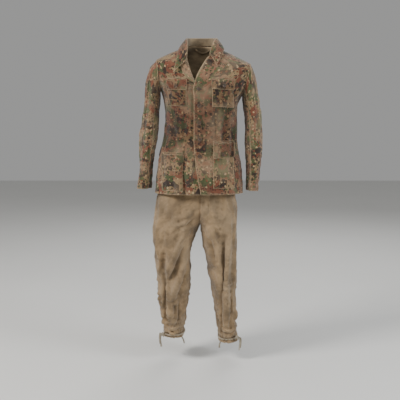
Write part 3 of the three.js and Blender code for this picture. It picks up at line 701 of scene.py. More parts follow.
def sheet_of_cloth(name, points, normals, thickness, looks, planes=()):
    """A closed thin shell on a grid of points, and the area of its cloth. It is cut off beyond each
    plane, which is a place, an outward direction and the height above which it cuts."""
    rows, columns = points.shape[:2]
    round_ = np.diff(points, axis=1)[:-1]
    down = np.diff(points, axis=0)[:, :-1]
    inward = (np.cross(round_, down) * normals[:-1, :-1]).sum() < 0
    made = new_object(name, points.reshape(-1, 3), grid_faces(rows, columns, flip=inward), looks)
    worn = made.data.attributes.new("worn", "FLOAT", "POINT")
    worn.data.foreach_set("value", np.exp(-((edge_distance(points) / (WORN_EDGE * MM)) ** 2)).ravel())
    seed = sum(map(ord, name))
    cloth_uv(made.data, points, ((seed * 0.37) % 3, (seed * 0.61) % 3))
    if planes:
        cut = bmesh.new()
        cut.from_mesh(made.data)
        for place, outward, lowest in planes:
            faces = [face for face in cut.faces if face.calc_center_median().z > lowest]
            edges = {edge for face in faces for edge in face.edges}
            corners = {corner for face in faces for corner in face.verts}
            bmesh.ops.bisect_plane(cut, geom=[*corners, *edges, *faces], plane_co=place, plane_no=outward,
                                   clear_outer=True)
        cut.to_mesh(made.data)
        cut.free()
    area = sum(face.area for face in made.data.polygons)
    thicken = made.modifiers.new("Thickness", "SOLIDIFY")
    thicken.thickness = thickness * MM
    thicken.offset = -1
    thicken.material_offset = 1 if len(looks) > 1 else 0
    return apply_modifiers(made), area


def ribbon(points, widths, width, ply):
    """Vertices and faces of a flat tape along the points; widths gives each one's flat direction."""
    along = unit(np.gradient(points, axis=0))
    flat = unit(widths - (widths * along).sum(axis=1)[:, None] * along)
    thick = np.cross(along, flat)
    section = [(-1, -0.5), (-0.92, -1), (0, -1), (0.92, -1), (1, -0.5), (1, 0.5), (0.92, 1), (0, 1),
               (-0.92, 1), (-1, 0.5)]
    rings = np.stack([
        points + flat * (width / 2 * a) + thick * (ply / 2 * b) for a, b in section], axis=1)
    count, sides = rings.shape[:2]
    faces = grid_faces(count, sides, wraps=True)
    faces += [tuple(range(sides))[::-1], tuple(range((count - 1) * sides, count * sides))]
    return rings.reshape(-1, 3), faces


def join(parts):
    """One list of vertices and one of faces from several."""
    points, faces, offset = [], [], 0
    for some_points, some_faces in parts:
        points.append(some_points)
        faces += [tuple(corner + offset for corner in face) for face in some_faces]
        offset += len(some_points)
    return np.concatenate(points), faces


def stitch_parts(line, normals, pitch, length):
    """A row of raised stitches along a line on the cloth: one list of vertices and one of faces."""
    run = np.concatenate([[0], np.cumsum(np.linalg.norm(np.diff(line, axis=0), axis=1))])
    places = np.arange(pitch / 2, run[-1] / MM - pitch / 4, pitch) * MM
    if not len(places):
        return []
    centre, normal = (np.stack([np.interp(places, run, values[:, k]) for k in range(3)], axis=1)
                      for values in (line, normals))
    ahead, behind = (np.stack([np.interp(places + s * MM, run, line[:, k]) for k in range(3)], axis=1)
                     for s in (0.6, -0.6))
    along, normal = unit(ahead - behind), unit(normal)
    side = np.cross(normal, along)
    rings = [(-0.5, 0.25, -0.1), (-0.32, 0.9, 0.25), (0, 1.0, 0.4), (0.32, 0.9, 0.25), (0.5, 0.25, -0.1)]
    corners, sides = [], 6
    for share, size, rise in rings:
        for k in range(sides):
            turn = TURN * k / sides
            corners.append(
                centre + along * (share * length * MM)
                + side * (math.cos(turn) * THREAD_RADIUS * size * MM)
                + normal * ((math.sin(turn) * size * 0.8 + rise) * THREAD_RADIUS * MM))
    points = np.stack(corners, axis=1)
    shape = grid_faces(len(rings), sides, wraps=True)
    shape += [tuple(range(sides))[::-1], tuple(range((len(rings) - 1) * sides, len(rings) * sides))]
    each = points.shape[1]
    faces = [tuple(corner + each * index for corner in face)
             for index in range(len(points)) for face in shape]
    return [(points.reshape(-1, 3), faces)]


# ---- placing pieces


def place_piece(piece, nodes, body="root", bends_to=None):
    """Rides the piece on its body, or, given a bend, only bakes its transform in place; either way it lets
    it stand for its nodes.
    """
    if bends_to:
        other, start, end = bends_to
        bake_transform(piece)
        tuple(start)
        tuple(end)
    else:
        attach(piece, body)
    if nodes:
        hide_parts(*nodes)
    return piece


def cloth_ply():
    """The main cloth's thickness, in mm."""
    return bpy.context.scene.suit_sizes.cloth / MM


# ---- materials


def srgb(colour):
    """The linear values of a colour that is given as it looks on a screen."""
    return [value / 12.92 if value <= 0.04045 else ((value + 0.055) / 1.055) ** 2.4 for value in colour]


def shade(colour, tone=1.0):
    """A colour made darker or lighter by a tone, as a shader's value."""
    return (*srgb([min(value * tone, 1) for value in colour]), 1.0)


def node(tree, kind, inputs=None, **settings):
    """A new node; an input is either linked from an output or set to a value of its own."""
    made = tree.nodes.new(kind)
    for key, value in settings.items():
        setattr(made, key, value)
    for key, value in (inputs or {}).items():
        if isinstance(value, bpy.types.NodeSocket):
            tree.links.new(value, made.inputs[key])
        else:
            made.inputs[key].default_value = value
    return made


def math_node(tree, operation, *values):
    return node(tree, "ShaderNodeMath", dict(enumerate(values)), operation=operation).outputs[0]


def mix(tree, factor, first, second, way="MIX"):
    made = node(tree, "ShaderNodeMix", {0: factor, 6: first, 7: second}, data_type="RGBA", blend_type=way)
    return made.outputs[2]


def cloudy_noise(tree, place, scale, detail, dimensions="3D", **more):
    made = node(tree, "ShaderNodeTexNoise", {"Vector": place, "Scale": scale, "Detail": detail, **more},
                noise_dimensions=dimensions)
    return made.outputs["Fac"]


def flat_noise(tree, flat, scale, detail, **more):
    """Noise over a cloth's flat layout in metres."""
    return cloudy_noise(tree, flat, scale, detail, dimensions="2D", **more)


def new_material(name):
    made = bpy.data.materials.new(name)
    made.use_nodes = True
    return made, made.node_tree, made.node_tree.nodes["Principled BSDF"]


def raise_surface(tree, shader, height, strength, distance):
    """Feeds a height to the shader's normal through a bump."""
    raised = node(tree, "ShaderNodeBump", {"Height": height, "Strength": strength, "Distance": distance})
    tree.links.new(raised.outputs[0], shader.inputs["Normal"])


def ramp(tree, value, low, high):
    """0 below low, 1 above high and smooth between them; low may be the higher of the two."""
    made = node(tree, "ShaderNodeMapRange", {"Value": value, "From Min": low, "From Max": high},
                interpolation_type="SMOOTHSTEP", clamp=True)
    return made.outputs[0]


def new_group(name, inputs, outputs):
    tree = bpy.data.node_groups.new(name, "ShaderNodeTree")
    for label, kind, default in inputs:
        socket = tree.interface.new_socket(name=label, in_out="INPUT", socket_type=kind)
        if default is not None:
            socket.default_value = default
    for label, kind in outputs:
        tree.interface.new_socket(name=label, in_out="OUTPUT", socket_type=kind)
    return tree, tree.nodes.new("NodeGroupInput").outputs, tree.nodes.new("NodeGroupOutput").inputs


COLOUR, FLOAT, VECTOR = "NodeSocketColor", "NodeSocketFloat", "NodeSocketVector"


def weave_group():
    """The cloth's threads, from its flat layout in metres: a height and a faint colour mask."""
    tree, given, result = new_group(
        "Twill weave",
        [("Flat", VECTOR, None), ("Threads per metre", FLOAT, 900.0), ("Slant", FLOAT, 1.0)],
        [("Height", FLOAT), ("Mask", FLOAT)])
    parts = node(tree, "ShaderNodeSeparateXYZ", {0: given["Flat"]}).outputs
    turn = math_node(tree, "MULTIPLY", given["Threads per metre"], TURN)
    warp = math_node(tree, "MULTIPLY", parts[0], turn)
    weft = math_node(tree, "MULTIPLY", parts[1], turn)
    slanted = math_node(tree, "MULTIPLY_ADD", weft, given["Slant"], warp)
    ribs = math_node(tree, "SINE", math_node(tree, "MULTIPLY", slanted, 0.5))
    cross = math_node(tree, "MULTIPLY", math_node(tree, "SINE", warp), math_node(tree, "SINE", weft))
    slubs = flat_noise(tree, given["Flat"], 420.0, 3.0)
    height = math_node(tree, "MULTIPLY_ADD", ribs, 0.35, math_node(tree, "MULTIPLY", cross, 0.2))
    tree.links.new(math_node(tree, "ADD", height, slubs), result["Height"])
    tree.links.new(slubs, result["Mask"])
    return tree


def wear_and_shading_group():
    """Fading, rubbing and dust over a cloth's own colour, with a painted highlight on convex folds and
    painted shade in creases.
    """
    tree, given, result = new_group(
        "Cloth wear",
        [("Colour", COLOUR, None), ("Flat", VECTOR, None), ("Edge", FLOAT, 0.5), ("Fading", FLOAT, 0.5),
         ("Dust", COLOUR, None)],
        [("Colour", COLOUR), ("Roughness", FLOAT)])
    broad = flat_noise(tree, given["Flat"], 7.0, 4.0)
    fine = flat_noise(tree, given["Flat"], 85.0, 5.0, Roughness=0.65)
    patches = math_node(tree, "MULTIPLY", ramp(tree, broad, 0.42, 0.72), given["Fading"])
    faded = mix(tree, patches, given["Colour"], given["Dust"])
    # Convex folds turn paler: partly rubbed by use, partly a painted highlight.
    rubbed = math_node(tree, "MULTIPLY", ramp(tree, given["Edge"], 0.505, 0.56), ramp(tree, fine, 0.3, 0.75))
    rubbed_and_highlit = mix(tree, math_node(tree, "MULTIPLY", rubbed, 0.5), faded, given["Dust"])
    # Painted shade: creases, where pointiness is low, are darkened towards near black.
    crease_shade_mask = ramp(tree, given["Edge"], 0.495, 0.44)
    crease_shaded = mix(tree, math_node(tree, "MULTIPLY", crease_shade_mask, 0.45), rubbed_and_highlit, (0.02, 0.014, 0.009, 1))
    grime = mix(tree, math_node(tree, "MULTIPLY", ramp(tree, broad, 0.48, 0.25), 0.3), crease_shaded,
                (0.05, 0.033, 0.02, 1))
    speckle = mix(tree, ramp(tree, fine, 0.56, 0.8), grime, (1.25, 1.22, 1.18, 1), "MULTIPLY")
    tree.links.new(mix(tree, 0.6, grime, speckle), result["Colour"])
    tree.links.new(math_node(tree, "MULTIPLY_ADD", fine, 0.16, 0.78), result["Roughness"])
    return tree


def print_group():
    """The dotted camouflage print, from the cloth's flat layout in metres."""
    tree, given, result = new_group(
        "Dotted print",
        [("Flat", VECTOR, None), ("Tan", COLOUR, None), ("Rose", COLOUR, None), ("Brown", COLOUR, None),
         ("Green", COLOUR, None), ("Russet", COLOUR, None), ("Pale", COLOUR, None)],
        [("Colour", COLOUR)])

    def flat(shift):
        moved = node(tree, "ShaderNodeVectorMath", {0: given["Flat"], 1: (*shift, 0)}, operation="ADD")
        return moved.outputs[0]

    def patches(shift, scale, low, high):
        found = flat_noise(tree, flat(shift), scale, 2.0, Roughness=0.5, Distortion=0.35)
        return ramp(tree, found, low, high)

    def dots(shift, scale, smallest, largest):
        cells = node(tree, "ShaderNodeTexVoronoi", {"Vector": flat(shift), "Scale": scale,
                                                    "Randomness": 0.9}, voronoi_dimensions="2D")
        chance = node(tree, "ShaderNodeSeparateColor", {0: cells.outputs["Color"]}).outputs[0]
        size = math_node(tree, "MULTIPLY_ADD", chance, largest - smallest, smallest)
        ragged = flat_noise(tree, flat(shift), 260.0, 2.0)
        edge = math_node(tree, "MULTIPLY_ADD", ragged, 0.16, cells.outputs["Distance"])
        inside = math_node(tree, "SUBTRACT", size, edge)
        return ramp(tree, inside, -0.02, 0.02)

    colour = mix(tree, patches((3.1, 1.7), 5.0, 0.40, 0.62), given["Tan"], given["Rose"])
    rules = [
        (patches((0.3, 5.2), 17.0, 0.540, 0.570), "Brown"),
        (dots((1.9, 0.4), 52.0, 0.06, 0.44), "Brown"),
        (patches((4.4, 2.9), 15.0, 0.560, 0.590), "Green"),
        (dots((6.2, 3.3), 46.0, -0.10, 0.42), "Green"),
        (patches((2.2, 7.7), 19.0, 0.615, 0.64), "Russet"),
        (dots((8.8, 1.2), 58.0, -0.12, 0.42), "Russet"),
        (dots((5.5, 9.1), 50.0, -0.18, 0.36), "Pale"),
        (dots((7.1, 6.4), 88.0, -0.20, 0.42), "Brown"),
    ]
    for mask, ink in rules:
        colour = mix(tree, mask, colour, given[ink])
    tree.links.new(colour, result["Colour"])
    return tree


def cloth_material(name, threads, slant, fading, dust, bump, print_inputs=None, colour=None):
    """A matte cloth: its print or dye, fading and rubbing with a painted highlight on convex folds and
    painted shade in creases, threads and a soft nap.
    """
    made, tree, shader = new_material(name)
    flat = node(tree, "ShaderNodeUVMap", uv_map="cloth").outputs[0]
    weave = node(tree, "ShaderNodeGroup", {"Flat": flat, "Threads per metre": threads, "Slant": slant},
                 node_tree=bpy.data.node_groups["Twill weave"])
    if print_inputs:
        inks = {ink: shade(value) for ink, value in print_inputs.items()}
        printed = node(tree, "ShaderNodeGroup", {"Flat": flat, **inks},
                       node_tree=bpy.data.node_groups["Dotted print"])
        # Darker and redder over the middle of the torso, between chest and waist, front and back.
        place = node(tree, "ShaderNodeSeparateXYZ",
                     {0: node(tree, "ShaderNodeTexCoord").outputs["Object"]}).outputs
        low, high = ramp(tree, place[2], -0.56, -0.42), ramp(tree, place[2], -0.11, -0.22)
        middle = ramp(tree, math_node(tree, "ABSOLUTE", place[0]), 0.21, 0.15)
        mid_torso_darkening = math_node(tree, "MULTIPLY", math_node(tree, "MULTIPLY", low, high), middle)
        dye = mix(tree, mid_torso_darkening, printed.outputs[0], (0.56, 0.47, 0.42, 1), "MULTIPLY")
    else:
        blotches = flat_noise(tree, flat, 11.0, 5.0)
        dye = mix(tree, ramp(tree, blotches, 0.35, 0.7), shade(colour, 0.72), shade(colour))
    # Pointiness, high on convex folds and low in creases, feeds rubbed ridges with a painted highlight and
    # painted shade in creases.
    edge = node(tree, "ShaderNodeNewGeometry").outputs["Pointiness"]
    wear_and_shading = node(tree, "ShaderNodeGroup",
                {"Colour": dye, "Flat": flat, "Edge": edge, "Fading": fading, "Dust": shade(dust)},
                node_tree=bpy.data.node_groups["Cloth wear"])
    worn = node(tree, "ShaderNodeAttribute", attribute_name="worn").outputs["Fac"]
    rubbed = math_node(tree, "MULTIPLY", worn, ramp(tree, weave.outputs["Mask"], 0.2, 0.7))
    pale = mix(tree, math_node(tree, "MULTIPLY", rubbed, 0.75), wear_and_shading.outputs["Colour"], shade(dust))
    threads_shown = ramp(tree, weave.outputs["Mask"], 0.25, 0.8)
    tinted = mix(tree, threads_shown, (0.86, 0.86, 0.87, 1), (1.1, 1.1, 1.09, 1))
    tree.links.new(mix(tree, 1.0, pale, tinted, "MULTIPLY"), shader.inputs["Base Color"])
    tree.links.new(wear_and_shading.outputs["Roughness"], shader.inputs["Roughness"])
    raise_surface(tree, shader, weave.outputs["Height"], bump, 0.0006)
    shader.inputs["Sheen Weight"].default_value = 0.18
    shader.inputs["Sheen Roughness"].default_value = 0.6
    shader.inputs["Specular IOR Level"].default_value = 0.2
    return made


def button_material(colour):
    """Dull moulded horn: mottled, with a slightly polished face."""
    made, tree, shader = new_material("horn_button")
    place = node(tree, "ShaderNodeTexCoord").outputs["Object"]
    cloudy = cloudy_noise(tree, place, 130.0, 6.0, Distortion=1.2)
    fine = cloudy_noise(tree, place, 900.0, 3.0)
    mottled = mix(tree, ramp(tree, cloudy, 0.35, 0.68), shade(colour, 0.62), shade(colour, 1.25))
    tree.links.new(mottled, shader.inputs["Base Color"])
    tree.links.new(math_node(tree, "MULTIPLY_ADD", fine, 0.3, 0.32), shader.inputs["Roughness"])
    raise_surface(tree, shader, fine, 0.25, 0.0003)
    return made


def thread_material(name, colour):
    """Spun sewing thread with its twist."""
    made, tree, shader = new_material(name)
    place = node(tree, "ShaderNodeTexCoord").outputs["Object"]
    cloudy = cloudy_noise(tree, place, 60.0, 3.0)
    twist = node(tree, "ShaderNodeTexWave", {"Vector": place, "Scale": 900.0, "Distortion": 2.0},
                 bands_direction="DIAGONAL").outputs["Fac"]
    spun = mix(tree, ramp(tree, cloudy, 0.3, 0.7), shade(colour, 0.7), shade(colour))
    tree.links.new(spun, shader.inputs["Base Color"])
    tree.links.new(math_node(tree, "MULTIPLY_ADD", cloudy, 0.2, 0.7), shader.inputs["Roughness"])
    raise_surface(tree, shader, twist, 0.4, 0.0002)
    shader.inputs["Specular IOR Level"].default_value = 0.25
    return made


def stage_material(colour):
    """Pale studio floor with a faint unevenness."""
    made, tree, shader = new_material("studio_floor")
    place = node(tree, "ShaderNodeTexCoord").outputs["Object"]
    cloudy = cloudy_noise(tree, place, 1.5, 3.0)
    tree.links.new(mix(tree, cloudy, shade(colour, 0.97), shade(colour)), shader.inputs["Base Color"])
    shader.inputs["Roughness"].default_value = 0.85
    return made


LOOKS = {}


def materials():
    """Every material by its look, made the first time that they are asked for."""
    if LOOKS:
        return LOOKS
    weave_group()
    wear_and_shading_group()
    print_group()
    colours = bpy.context.scene.suit_colours
    inks = {"Tan": colours.tan, "Rose": colours.rose, "Brown": colours.brown, "Green": colours.green,
            "Russet": colours.russet, "Pale": colours.pale}
    dust = colours.dust
    LOOKS.update(
        camouflage_cloth=cloth_material("printed_twill", 1000, 1.0, 0.34, dust, 0.55, print_inputs=inks),
        lining_cloth=cloth_material("lining_twill", 800, 0.0, 0.3, dust, 0.5, colour=colours.lining),
        drill_cloth=cloth_material("trouser_drill", 900, 1.0, 0.4, dust, 0.6, colour=colours.drill),
        tape=cloth_material("woven_tape", 700, 0.0, 0.25, dust, 0.7, colour=colours.tape),
        horn_button=button_material(colours.button),
        sewing_thread=thread_material("sewing_thread", colours.thread),
        dark_thread=thread_material("dark_thread", [value * 0.55 for value in colours.thread]),
        studio_floor=stage_material(colours.floor),
    )
    return LOOKS


# ---- hanging the cloth


def drape(skin, held, growth, inset, limit):
    """Lets the skin hang in a cloth simulation around an inner form, and keeps the folds that it makes.
    held is each point's hold from 0 to 1, and limit is the furthest that a point may move, in mm.
    The part that every point of a row shares is left out, so that the garment keeps its cut."""
    rows, columns = skin.points.shape[:2]
    faces = grid_faces(rows, columns, wraps=True)
    cloth = new_object("hanging_cloth", skin.points.reshape(-1, 3), faces)
    form = new_object("inner_form", (skin.base - skin.base_normals * inset * MM).reshape(-1, 3), faces)
    form.modifiers.new("Collision", "COLLISION")
    form.collision.thickness_outer = 0.002
    form.collision.cloth_friction = 8
    group = cloth.vertex_groups.new(name="held")
    for index, weight in enumerate(held.ravel()):
        group.add([index], float(weight), "REPLACE")
    modifier = cloth.modifiers.new("Cloth", "CLOTH")
    settings = modifier.settings
    settings.quality = 5
    settings.mass = 0.25
    settings.tension_stiffness = settings.compression_stiffness = 18
    settings.shear_stiffness = 6
    settings.bending_stiffness = 0.5
    settings.air_damping = 2
    settings.vertex_group_mass = "held"
    settings.shrink_min = -growth
    modifier.collision_settings.distance_min = 0.002
    modifier.point_cache.frame_start = 1
    modifier.point_cache.frame_end = DRAPE_FRAMES
    scene = bpy.context.scene
    for step in range(1, DRAPE_FRAMES + 1):
        scene.frame_set(step)
    shape = cloth.evaluated_get(bpy.context.evaluated_depsgraph_get()).data
    found = np.empty(3 * len(shape.vertices))
    shape.vertices.foreach_get("co", found)
    shift = found.reshape(rows, columns, 3) - skin.points
    across = (shift * skin.normals).sum(axis=2)
    across = across - across.mean(axis=1, keepdims=True) * (1 - held)
    across = limit * MM * np.tanh(across / (limit * MM))
    for _ in range(2):
        across = (2 * across + np.roll(across, 1, axis=1) + np.roll(across, -1, axis=1)) / 4
        framed = np.pad(across, ((1, 1), (0, 0)), mode="edge")
        across = (2 * across + framed[2:] + framed[:-2]) / 4
    skin.move(across)
    for made in (cloth, form):
        mesh = made.data
        bpy.data.objects.remove(made)
        bpy.data.meshes.remove(mesh)
    scene.frame_set(1)


SKINS = {}


def tunic_skin():
    if "tunic" not in SKINS:
        depths = even_depths(tunic_place, -12, -TUNIC_HEM, math.pi / 3, 128)
        skin = Skin(tunic_place, depths, even_angles(190, 130, TUNIC_ROUNDNESS, 168))

        def on_front(across, height):
            return tunic_place(front_angle(across, height), -height)

        def on_back(across, height):
            return tunic_place(math.pi - front_angle(across, height), -height)

        creases = placed(TUNIC_FRONT_CREASES, on_front) + placed(TUNIC_BACK_CREASES, on_back)
        flare = smoothstep(400, 664, skin.depth)
        waves = np.sin(9 * skin.angle + 0.6) + 0.6 * np.sin(14 * skin.angle + 2.1)
        calm = smoothstep(70, 150, skin.depth)
        skin.move(crease_height(skin, creases, 1.25) + wrinkle(skin, 70, 4.2, seed=3) * calm
                  + wrinkle(skin, 26, 1.7, (1, 1, 0.8), seed=11) * calm + waves * flare * 2.4 * MM)
        near_front = np.exp(-((np.sin(skin.angle) / 0.22) ** 2)) * (np.cos(skin.angle) > 0)
        held = np.maximum(smoothstep(320, 90, skin.depth), 0.35 * near_front)
        drape(skin, np.clip(held + 0.02, 0, 1), 0.035, 7, 6)
        SKINS["tunic"] = skin
    return SKINS["tunic"]


def sleeve_skin(side):
    if side not in SKINS:
        place = sleeve_place(side)
        depths = even_depths(place, 0, 1, QUARTER, 116)
        skin = Skin(place, depths, even_angles(60, 72, SLEEVE_ROUNDNESS, 72))
        creases = placed(SLEEVE_CREASES[side], lambda turn, share: place(np.radians(turn), share))
        calm = smoothstep(0, 0.06, skin.depth)
        skin.move((crease_height(skin, creases, 1.35) + wrinkle(skin, 44, 4.0, (1, 1, 0.5), seed=21)
                   + wrinkle(skin, 20, 1.5, (1, 1, 0.8), seed=5)) * calm)
        held = smoothstep(0.14, 0.02, skin.depth)
        drape(skin, np.clip(held, 0.01, 1), 0.045, 8, 6)
        SKINS[side] = skin
    return SKINS[side]


def leg_skin(side):
    name = f"{side}_leg"
    if name not in SKINS:
        place, hem = leg_place(side), HEMS[side]
        depths = np.linspace(-WAIST_TOP, -hem, 190)
        skin = Skin(place, depths, even_angles(90, 105, TUNIC_ROUNDNESS, 120))

        def on_front(across, height):
            return place(half_angle(side, across, height), -height)

        def on_back(across, height):
            return place(half_angle(side, across, height, behind=True), -height)

        creases = placed(TROUSER_FRONT_CREASES[side], on_front)
        creases += placed(TROUSER_BACK_CREASES[side], on_back)
        above_tape = skin.depth + hem + TAPE_RISE
        tie = np.exp(-((above_tape / 26) ** 2)) + 0.6 * smoothstep(-10, 12, above_tape)
        pleats = np.sin(26 * skin.angle + 0.8) + 0.5 * np.sin(17 * skin.angle)
        calm = smoothstep(600, 700, skin.depth)
        skin.move((crease_height(skin, creases, 2.3) + wrinkle(skin, 90, 6.5, (1, 1, 0.5), seed=31)
                   + wrinkle(skin, 34, 4.6, (1, 1, 0.8), seed=15)) * calm + pleats * tie * 1.8 * MM)
        ring = np.exp(-((above_tape / 9) ** 2))
        held = np.maximum(smoothstep(720, 640, skin.depth), np.maximum(ring, smoothstep(0, 10, above_tape)))
        drape(skin, np.clip(held, 0.01, 1), 0.038, 8, 8)
        SKINS[name] = skin
    return SKINS[name]


def lay(name, skin, angle, depth, lift, thickness, looks, planes=(), nodes=(),
        bends_to=None):
    """Lays a panel of cloth on a skin at the given angles, depths and lifts."""
    points = skin.at(angle, depth, lift)
    normals = skin.normal(angle, depth)
    piece, area = sheet_of_cloth(name, points, normals, thickness, looks, planes)
    return place_piece(piece, nodes, bends_to=bends_to)


def sew(name, lines, bends_to=None, look="sewing_thread"):
    """Rows of stitches as one piece; each line is its points and the cloth's normals there."""
    sizes = bpy.context.scene.suit_sizes
    parts = []
    for points, normals in lines:
        parts += stitch_parts(points, normals, sizes.stitch_pitch / MM, sizes.stitch_length / MM)
    points, faces = join(parts)
    place_piece(new_object(name, points, faces, [look]), (), bends_to=bends_to)


def skin_line(skin, angle, depth, lift):
    angle, depth = np.broadcast_arrays(np.asarray(angle, float), np.asarray(depth, float))
    return skin.at(angle, depth, lift), skin.normal(angle, depth)


def shares(rows, columns):
    """The share of the way down and of the way across, for each point of a grid."""
    down, across = np.meshgrid(np.linspace(0, 1, rows), np.linspace(0, 1, columns), indexing="ij")
    return down, across


def edge_roll(away, width=2.5, drop=0.9):
    """How far a sewn edge is pulled down, in mm, this far from it."""
    return -drop * np.exp(-((away / width) ** 2))


def hem_step(above, height):
    """The extra lift of a doubled hem, with the groove that its stitches pull in."""
    inside = smoothstep(height + 1.5, height - 1.0, above)
    return HEM_PLY * inside - 0.7 * np.exp(-(((above - height + 2.5) / 1.4) ** 2))


# ---- the tunic


def armhole_planes(sides=("left", "right")):
    planes = []
    for side in sides:
        tip, pit, _, out = armhole(side)
        planes.append((Vector(tip), Vector(out), pit[2] - 4 * MM))
    return planes


def panel_rows(start, end, seams, count=300):
    """A tunic panel's lines of stitches: one row along its hem and one beside each side seam."""
    skin, share = tunic_skin(), np.linspace(0, 1, count)
    hem_depth = -TUNIC_HEM - TUNIC_HEM_FOLD + STITCH_IN
    lines = [skin_line(skin, skin.angles(start, end, share), hem_depth, 0.35)]
    for seam in seams:
        lines.append(skin_line(skin, seam, skin.down(SIDE_SEAM_TOP, -TUNIC_HEM - 2, share), 0.1))
    return lines


def overlap(from_edge, depth):
    """How far the left front is raised to lap over the right one, in mm."""
    return LAP_RISE * smoothstep(40, 20, from_edge) * smoothstep(115, 135, depth)


def back_panel():
    skin, thickness = tunic_skin(), cloth_ply()
    down, across = shares(190, 150)
    depth = skin.down(-BACK_NECK, -TUNIC_HEM, down)
    angle = skin.angles(QUARTER, 3 * QUARTER, across)
    from_seam = np.minimum(across, 1 - across) * 500
    lift = edge_roll(from_seam) + hem_step(-TUNIC_HEM - depth, TUNIC_HEM_FOLD)
    lay("tunic_back", skin, angle, depth, lift, thickness, PRINTED,
        planes=armhole_planes(), nodes=["back_panel"])
    sew("tunic_back_stitches",
        panel_rows(QUARTER + 0.02, 3 * QUARTER - 0.02, (QUARTER + 0.022, 3 * QUARTER - 0.022)))


def front_depths(skin, share):
    return skin.down(-FRONT_NECK, -TUNIC_HEM, share)


def left_front():
    skin, thickness = tunic_skin(), cloth_ply()
    down, across = shares(190, 84)
    depth = front_depths(skin, down)
    edge = front_angle(station(LEFT_EDGE, -depth)[0], -depth)
    angle = skin.angles(edge, QUARTER, across)
    point = skin.at(angle, depth)
    from_edge = np.linalg.norm(point - point[:, :1], axis=2) / MM
    from_seam = (1 - across) * 260
    lift = (overlap(from_edge, depth) + edge_roll(from_seam) + edge_roll(from_edge, 1.6, 0.5)
            + hem_step(-TUNIC_HEM - depth, TUNIC_HEM_FOLD) - 0.45 * np.exp(-(((from_edge - 7) / 1.3) ** 2)))
    lay("tunic_left_front", skin, angle, depth, lift, thickness, PRINTED,
        planes=armhole_planes(["left"]), nodes=["left_front"])
    rows = front_depths(skin, np.linspace(0, 1, 400))

    def inset(distance, lift_by):
        across_at = station(LEFT_EDGE, -rows)[0] + distance
        return skin_line(skin, front_angle(across_at, -rows), rows, lift_by)

    rest = panel_rows(front_angle(4, TUNIC_HEM), QUARTER - 0.02, [QUARTER - 0.022], 400)
    sew("tunic_left_front_stitches", [inset(7, 1.4), inset(44, 0.7), *rest])


def underlap(across, height):
    """How far the right front lies below the skin, to pass under the left front, in mm."""
    left, right = station(LEFT_EDGE, height)[0], station(RIGHT_EDGE, height)[0]
    edge = np.where(height < V_FOOT, np.minimum(left, right + LAP_START), left)
    return LAP_DEPTH * smoothstep(edge - LAP_WIDTH, edge - LAP_START, across)


def right_front():
    skin, thickness = tunic_skin(), cloth_ply()
    down, across = shares(190, 100)
    depth = front_depths(skin, down)
    edge = front_angle(station(RIGHT_EDGE, -depth)[0], -depth)
    angle = skin.angles(-QUARTER, edge, across)
    point = skin.at(angle, depth)
    from_edge = np.linalg.norm(point - point[:, -1:], axis=2) / MM
    lift = (edge_roll(across * 260) + edge_roll(from_edge, 1.6, 0.5)
            + hem_step(-TUNIC_HEM - depth, TUNIC_HEM_FOLD) - underlap(point[..., 0] / MM, -depth))
    lay("tunic_right_front", skin, angle, depth, lift, thickness, PRINTED,
        planes=armhole_planes(["right"]), nodes=["right_front"])
    sew("tunic_right_front_stitches",
        panel_rows(-QUARTER + 0.02, front_angle(-26, TUNIC_HEM), [-QUARTER + 0.022]))


def facings():
    """The turned-back strips inside the front edges; the left one just shows along the open neck."""
    skin, thickness = tunic_skin(), cloth_ply()
    down, across = shares(170, 20)
    depth = skin.down(6, -TUNIC_HEM - 3, down)
    for side, table in (("left", LEFT_EDGE), ("right", RIGHT_EDGE)):
        turn = SIDES[side]
        edge = station(table, -depth)[0]
        neck = smoothstep(-V_FOOT + 22, -V_FOOT - 4, depth)
        shown = 3.2 * neck if side == "left" else 0.4 * neck
        away = across * FACING_WIDTH - shown
        point_across = edge + turn * away
        angle = front_angle(point_across, -depth)
        lift = -(thickness + 0.5)
        if side == "left":
            curl = (thickness + 1.4) * np.exp(-((np.maximum(away + shown, 0) / 4.0) ** 2)) * neck
            lift = lift + curl + overlap(away, depth)
        else:
            lift = lift - underlap(point_across, -depth)
        lay(f"{side}_front_facing", skin, angle, depth, lift, 0.8, ["lining_cloth"],
            nodes=[f"{side}_facing"])


def lapel():
    """The right lapel, rolled back along the open neck, with its notch under the collar's point."""
    skin = tunic_skin()
    down, across = shares(60, 26)
    depth = -LAPEL[0][0] + (LAPEL[0][0] - LAPEL[-1][0]) * down
    roll, outer = station(LAPEL, -depth)
    point_across = roll + (outer - roll) * across
    angle = front_angle(point_across, -depth)
    width = np.abs(outer - roll)
    rounded = np.sqrt(np.clip(1 - (1 - np.minimum(across * width / 6, 1)) ** 2, 0, 1))
    lift = 0.6 + 4.2 * rounded - 2.2 * smoothstep(0.3, 1, across) + 0.5 * np.sin(9 * down + 2 * across)
    lay("turned_lapel", skin, angle, depth, lift, 1.3, PRINTED,
        nodes=["right_lapel"])
    share = np.linspace(0.03, 0.97, 120)
    rows = -LAPEL[0][0] + (LAPEL[0][0] - LAPEL[-1][0]) * share
    roll, outer = station(LAPEL, -rows)
    line = skin_line(skin, front_angle(outer + (roll - outer) * 0.14, -rows), rows, 3.1)
    sew("lapel_stitches", [line], look="dark_thread")


def clear_of_tunic(points, lift):
    """Moves points out to at least this many millimetres above the tunic's body surface."""
    across, along, height = points[..., 0] / MM, points[..., 1] / MM, points[..., 2] / MM
    level = height - SHOULDER_SLANT * across * smoothstep(*SLANT_FADES, height)
    middle, half_width, front, back = station(TUNIC, level)
    sine = power((across - middle) / half_width, TUNIC_ROUNDNESS / 2)
    cosine = power(((front + back) / 2 - along) / ((back - front) / 2), TUNIC_ROUNDNESS / 2)
    angle = np.mod(np.arctan2(sine, cosine), TURN)
    skin = tunic_skin()
    rest = skin.at(angle, -level, lift)
    below = ((rest - points) * skin.normal(angle, -level)).sum(axis=-1) > 0
    return np.where(below[..., None], rest, points)


